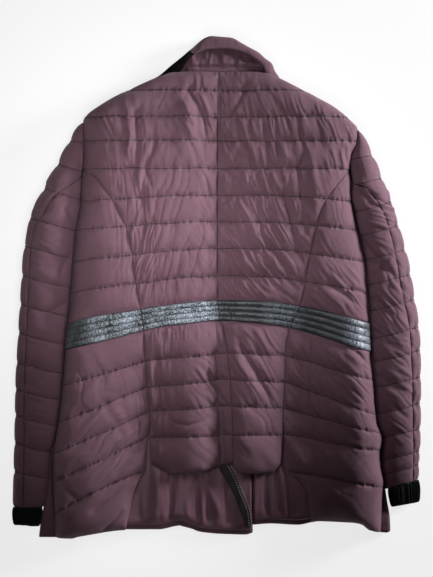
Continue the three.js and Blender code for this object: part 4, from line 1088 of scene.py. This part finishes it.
def band_material():
    """Crinkled satin over a dark ground, with pale speckle painted on as glints; how strong the painted glints are is
    set along x, as painted sheen zones.
    """
    m = cloth_material("band_satin", (0.008, 0.012, 0.014), (0.030, 0.038, 0.043), 0.38, sheen=0.05, spec=0.5)
    t = m.node_tree
    b = t.nodes["Principled BSDF"]
    ground = next(n for n in t.nodes if n.type == "VALTORGB")
    co = next(n for n in t.nodes if n.type == "TEX_COORD")
    mp = t.nodes.new("ShaderNodeMapping")
    mp.inputs["Scale"].default_value = (0.8, 0.62, 0.5)
    t.links.new(co.outputs["Object"], mp.inputs["Vector"])
    fine = t.nodes.new("ShaderNodeTexNoise")
    fine.inputs["Scale"].default_value = 620.0
    fine.inputs["Detail"].default_value = 2.0
    t.links.new(mp.outputs["Vector"], fine.inputs["Vector"])
    big = t.nodes.new("ShaderNodeTexNoise")
    big.inputs["Scale"].default_value = 34.0
    big.inputs["Detail"].default_value = 3.0
    t.links.new(co.outputs["Object"], big.inputs["Vector"])
    # painted glints: fine speckle noise that lifts the band's colour towards a pale blue
    glint_speckle = t.nodes.new("ShaderNodeMath")
    glint_speckle.operation = "MULTIPLY_ADD"
    glint_speckle.inputs[1].default_value = 0.55
    t.links.new(big.outputs["Fac"], glint_speckle.inputs[0])
    t.links.new(fine.outputs["Fac"], glint_speckle.inputs[2])
    r = t.nodes.new("ShaderNodeValToRGB")
    r.color_ramp.elements[0].position = 0.66
    r.color_ramp.elements[1].position = 0.95
    r.color_ramp.elements[0].color = (0, 0, 0, 1)
    r.color_ramp.elements[1].color = (1, 1, 1, 1)
    t.links.new(glint_speckle.outputs[0], r.inputs["Fac"])
    painted_glint_mix = t.nodes.new("ShaderNodeMix")
    painted_glint_mix.data_type = "RGBA"
    sep = t.nodes.new("ShaderNodeSeparateXYZ")
    t.links.new(co.outputs["Object"], sep.inputs["Vector"])
    # painted sheen: lighter and darker lengths of the band set along x, so the painted glints come and go as if lit
    place = t.nodes.new("ShaderNodeMapRange")
    place.inputs["From Min"].default_value = -0.25
    place.inputs["From Max"].default_value = 0.25
    t.links.new(sep.outputs["X"], place.inputs["Value"])
    painted_sheen_zone = t.nodes.new("ShaderNodeValToRGB")
    painted_sheen_stops = [(0.0, 0.15), (0.10, 0.2), (0.16, 0.85), (0.49, 1.0), (0.515, 0.03), (0.62, 0.02), (0.68, 0.4), (0.74, 0.3), (0.78, 0.03), (0.88, 0.05), (0.93, 0.6), (1.0, 0.5)]
    while len(painted_sheen_zone.color_ramp.elements) < len(painted_sheen_stops):
        painted_sheen_zone.color_ramp.elements.new(0.5)
    for e, (at, v) in zip(painted_sheen_zone.color_ramp.elements, painted_sheen_stops):
        e.position = at
        e.color = (v, v, v, 1)
    t.links.new(place.outputs["Result"], painted_sheen_zone.inputs["Fac"])
    amount = t.nodes.new("ShaderNodeMath")
    amount.operation = "MULTIPLY"
    t.links.new(r.outputs["Color"], amount.inputs[0])
    t.links.new(painted_sheen_zone.outputs["Color"], amount.inputs[1])
    t.links.new(amount.outputs[0], painted_glint_mix.inputs["Factor"])
    t.links.new(ground.outputs["Color"], painted_glint_mix.inputs[6])
    # the pale blue of the painted glints
    painted_glint_mix.inputs[7].default_value = (0.34, 0.40, 0.47, 1)
    t.links.new(painted_glint_mix.outputs[2], b.inputs["Base Color"])
    return m


MATERIALS = {
    "shell": cloth_material("plum_shell", (0.118, 0.058, 0.078), (0.176, 0.094, 0.126), 0.7, weave_bump=0.55, sheen=0.1, sheen_tint=(0.85, 0.75, 0.95), spec=0.24),
    "lining": cloth_material("plum_satin", (0.12, 0.056, 0.078), (0.19, 0.095, 0.132), 0.42, sheen=0.1, sheen_tint=(0.7, 0.5, 0.7), spec=0.35),
    "band": band_material(),
    "rib": cloth_material("rib_knit", (0.004, 0.005, 0.006), (0.009, 0.011, 0.012), 0.95, sheen=0.1, spec=0.15),
    "zip_tape": cloth_material("zip_tape", (0.02, 0.015, 0.018), (0.035, 0.026, 0.03), 0.8),
    "thread": cloth_material("thread", (0.022, 0.010, 0.016), (0.045, 0.022, 0.030), 0.7),
    # near-black, fully rough, no sheen and little specular: painted shade for the collar's left flank
    "collar_flank_painted_shade": cloth_material("collar_flank_painted_shade", (0.006, 0.005, 0.006), (0.014, 0.011, 0.013), 0.95, sheen=0.0, spec=0.05),
    "teeth": cloth_material("zip_teeth", (0.20, 0.17, 0.18), (0.32, 0.28, 0.29), 0.35, spec=0.6),
}
for name, ob in PIECES.items():
    key = {"stitch_threads": "thread", "zip_teeth": "teeth"}.get(name)
    if not key:
        key = ("band" if name.startswith("waist_band") else "lining" if name.startswith("lining")
               else "rib" if name.startswith("cuff") else "zip_tape" if name.startswith("zip_tape") else "shell")
    ob.data.materials.append(MATERIALS[key])
    # the collar's turned-down part gets a second material, the painted shade on its left flank
    if name == "collar_fall_cloth":
        ob.data.materials.append(MATERIALS["collar_flank_painted_shade"])

# ---- a pass over the padded pieces that changes nothing ---------------------------------------------------
for name, ob in PIECES.items():
    if name in ("stitch_threads", "zip_teeth"):
        continue

# ---- floor, light and camera -----------------------------------------------------------------------------
bpy.ops.mesh.primitive_plane_add(size=12, location=(0, 0, -0.0005))
floor = bpy.context.object
floor.name = "floor"
fm = bpy.data.materials.new("floor_white")
fm.use_nodes = True
fb = fm.node_tree.nodes["Principled BSDF"]
fb.inputs["Base Color"].default_value = (0.28, 0.28, 0.28, 1)
fb.inputs["Emission Color"].default_value = (1, 1, 1, 1)
fb.inputs["Emission Strength"].default_value = 0.78
fb.inputs["Roughness"].default_value = 0.9
floor.data.materials.append(fm)


def area(name, loc, target, size, power, color=(1, 1, 1), spread_deg=180):
    li = bpy.data.lights.new(name, "AREA")
    li.shape = "RECTANGLE"
    li.size, li.size_y = size
    li.energy = power
    li.color = color
    li.spread = math.radians(spread_deg)
    ob = bpy.data.objects.new(name, li)
    ob.location = loc
    ob.rotation_euler = (Vector(target) - Vector(loc)).to_track_quat("-Z", "Y").to_euler()
    bpy.context.scene.collection.objects.link(ob)


area("key", (2.12, 0.80, 0.48), (0.0, 0.18, 0.02), (0.6, 0.6), 11.6, (0.98, 0.96, 1.0), 60)
area("fill", (-0.085, 0.085, 0.42), (-0.08, 0.08, 0.0), (0.34, 0.34), 0.80, (1.0, 0.98, 0.97), 106)
area("low", (-0.125, -0.275, 0.42), (-0.13, -0.28, 0.0), (0.25, 0.25), 0.044, (1.0, 0.98, 0.97), 58)
area("side", (0.33, -0.03, 0.42), (0.315, -0.03, 0.0), (0.25, 0.25), 0.04, (1.0, 0.98, 0.99), 52)
w = bpy.data.worlds.new("world") if not bpy.context.scene.world else bpy.context.scene.world
bpy.context.scene.world = w
w.use_nodes = True
w.node_tree.nodes["Background"].inputs[0].default_value = (1, 0.98, 0.96, 1)
w.node_tree.nodes["Background"].inputs[1].default_value = 0.02
bpy.context.scene.view_settings.view_transform = "Standard"

cam = bpy.data.cameras.new("camera")
cam.sensor_width = 36
cam.sensor_fit = "AUTO"
D = 2.4
cam.lens = 36 * D / (577 * 1.54 * MM)
co = bpy.data.objects.new("camera", cam)
co.location = ((216.5 - 216) * 1.54 * MM, (287.15 - 288.5) * 1.54 * MM, D)
bpy.context.scene.collection.objects.link(co)
bpy.context.scene.camera = co
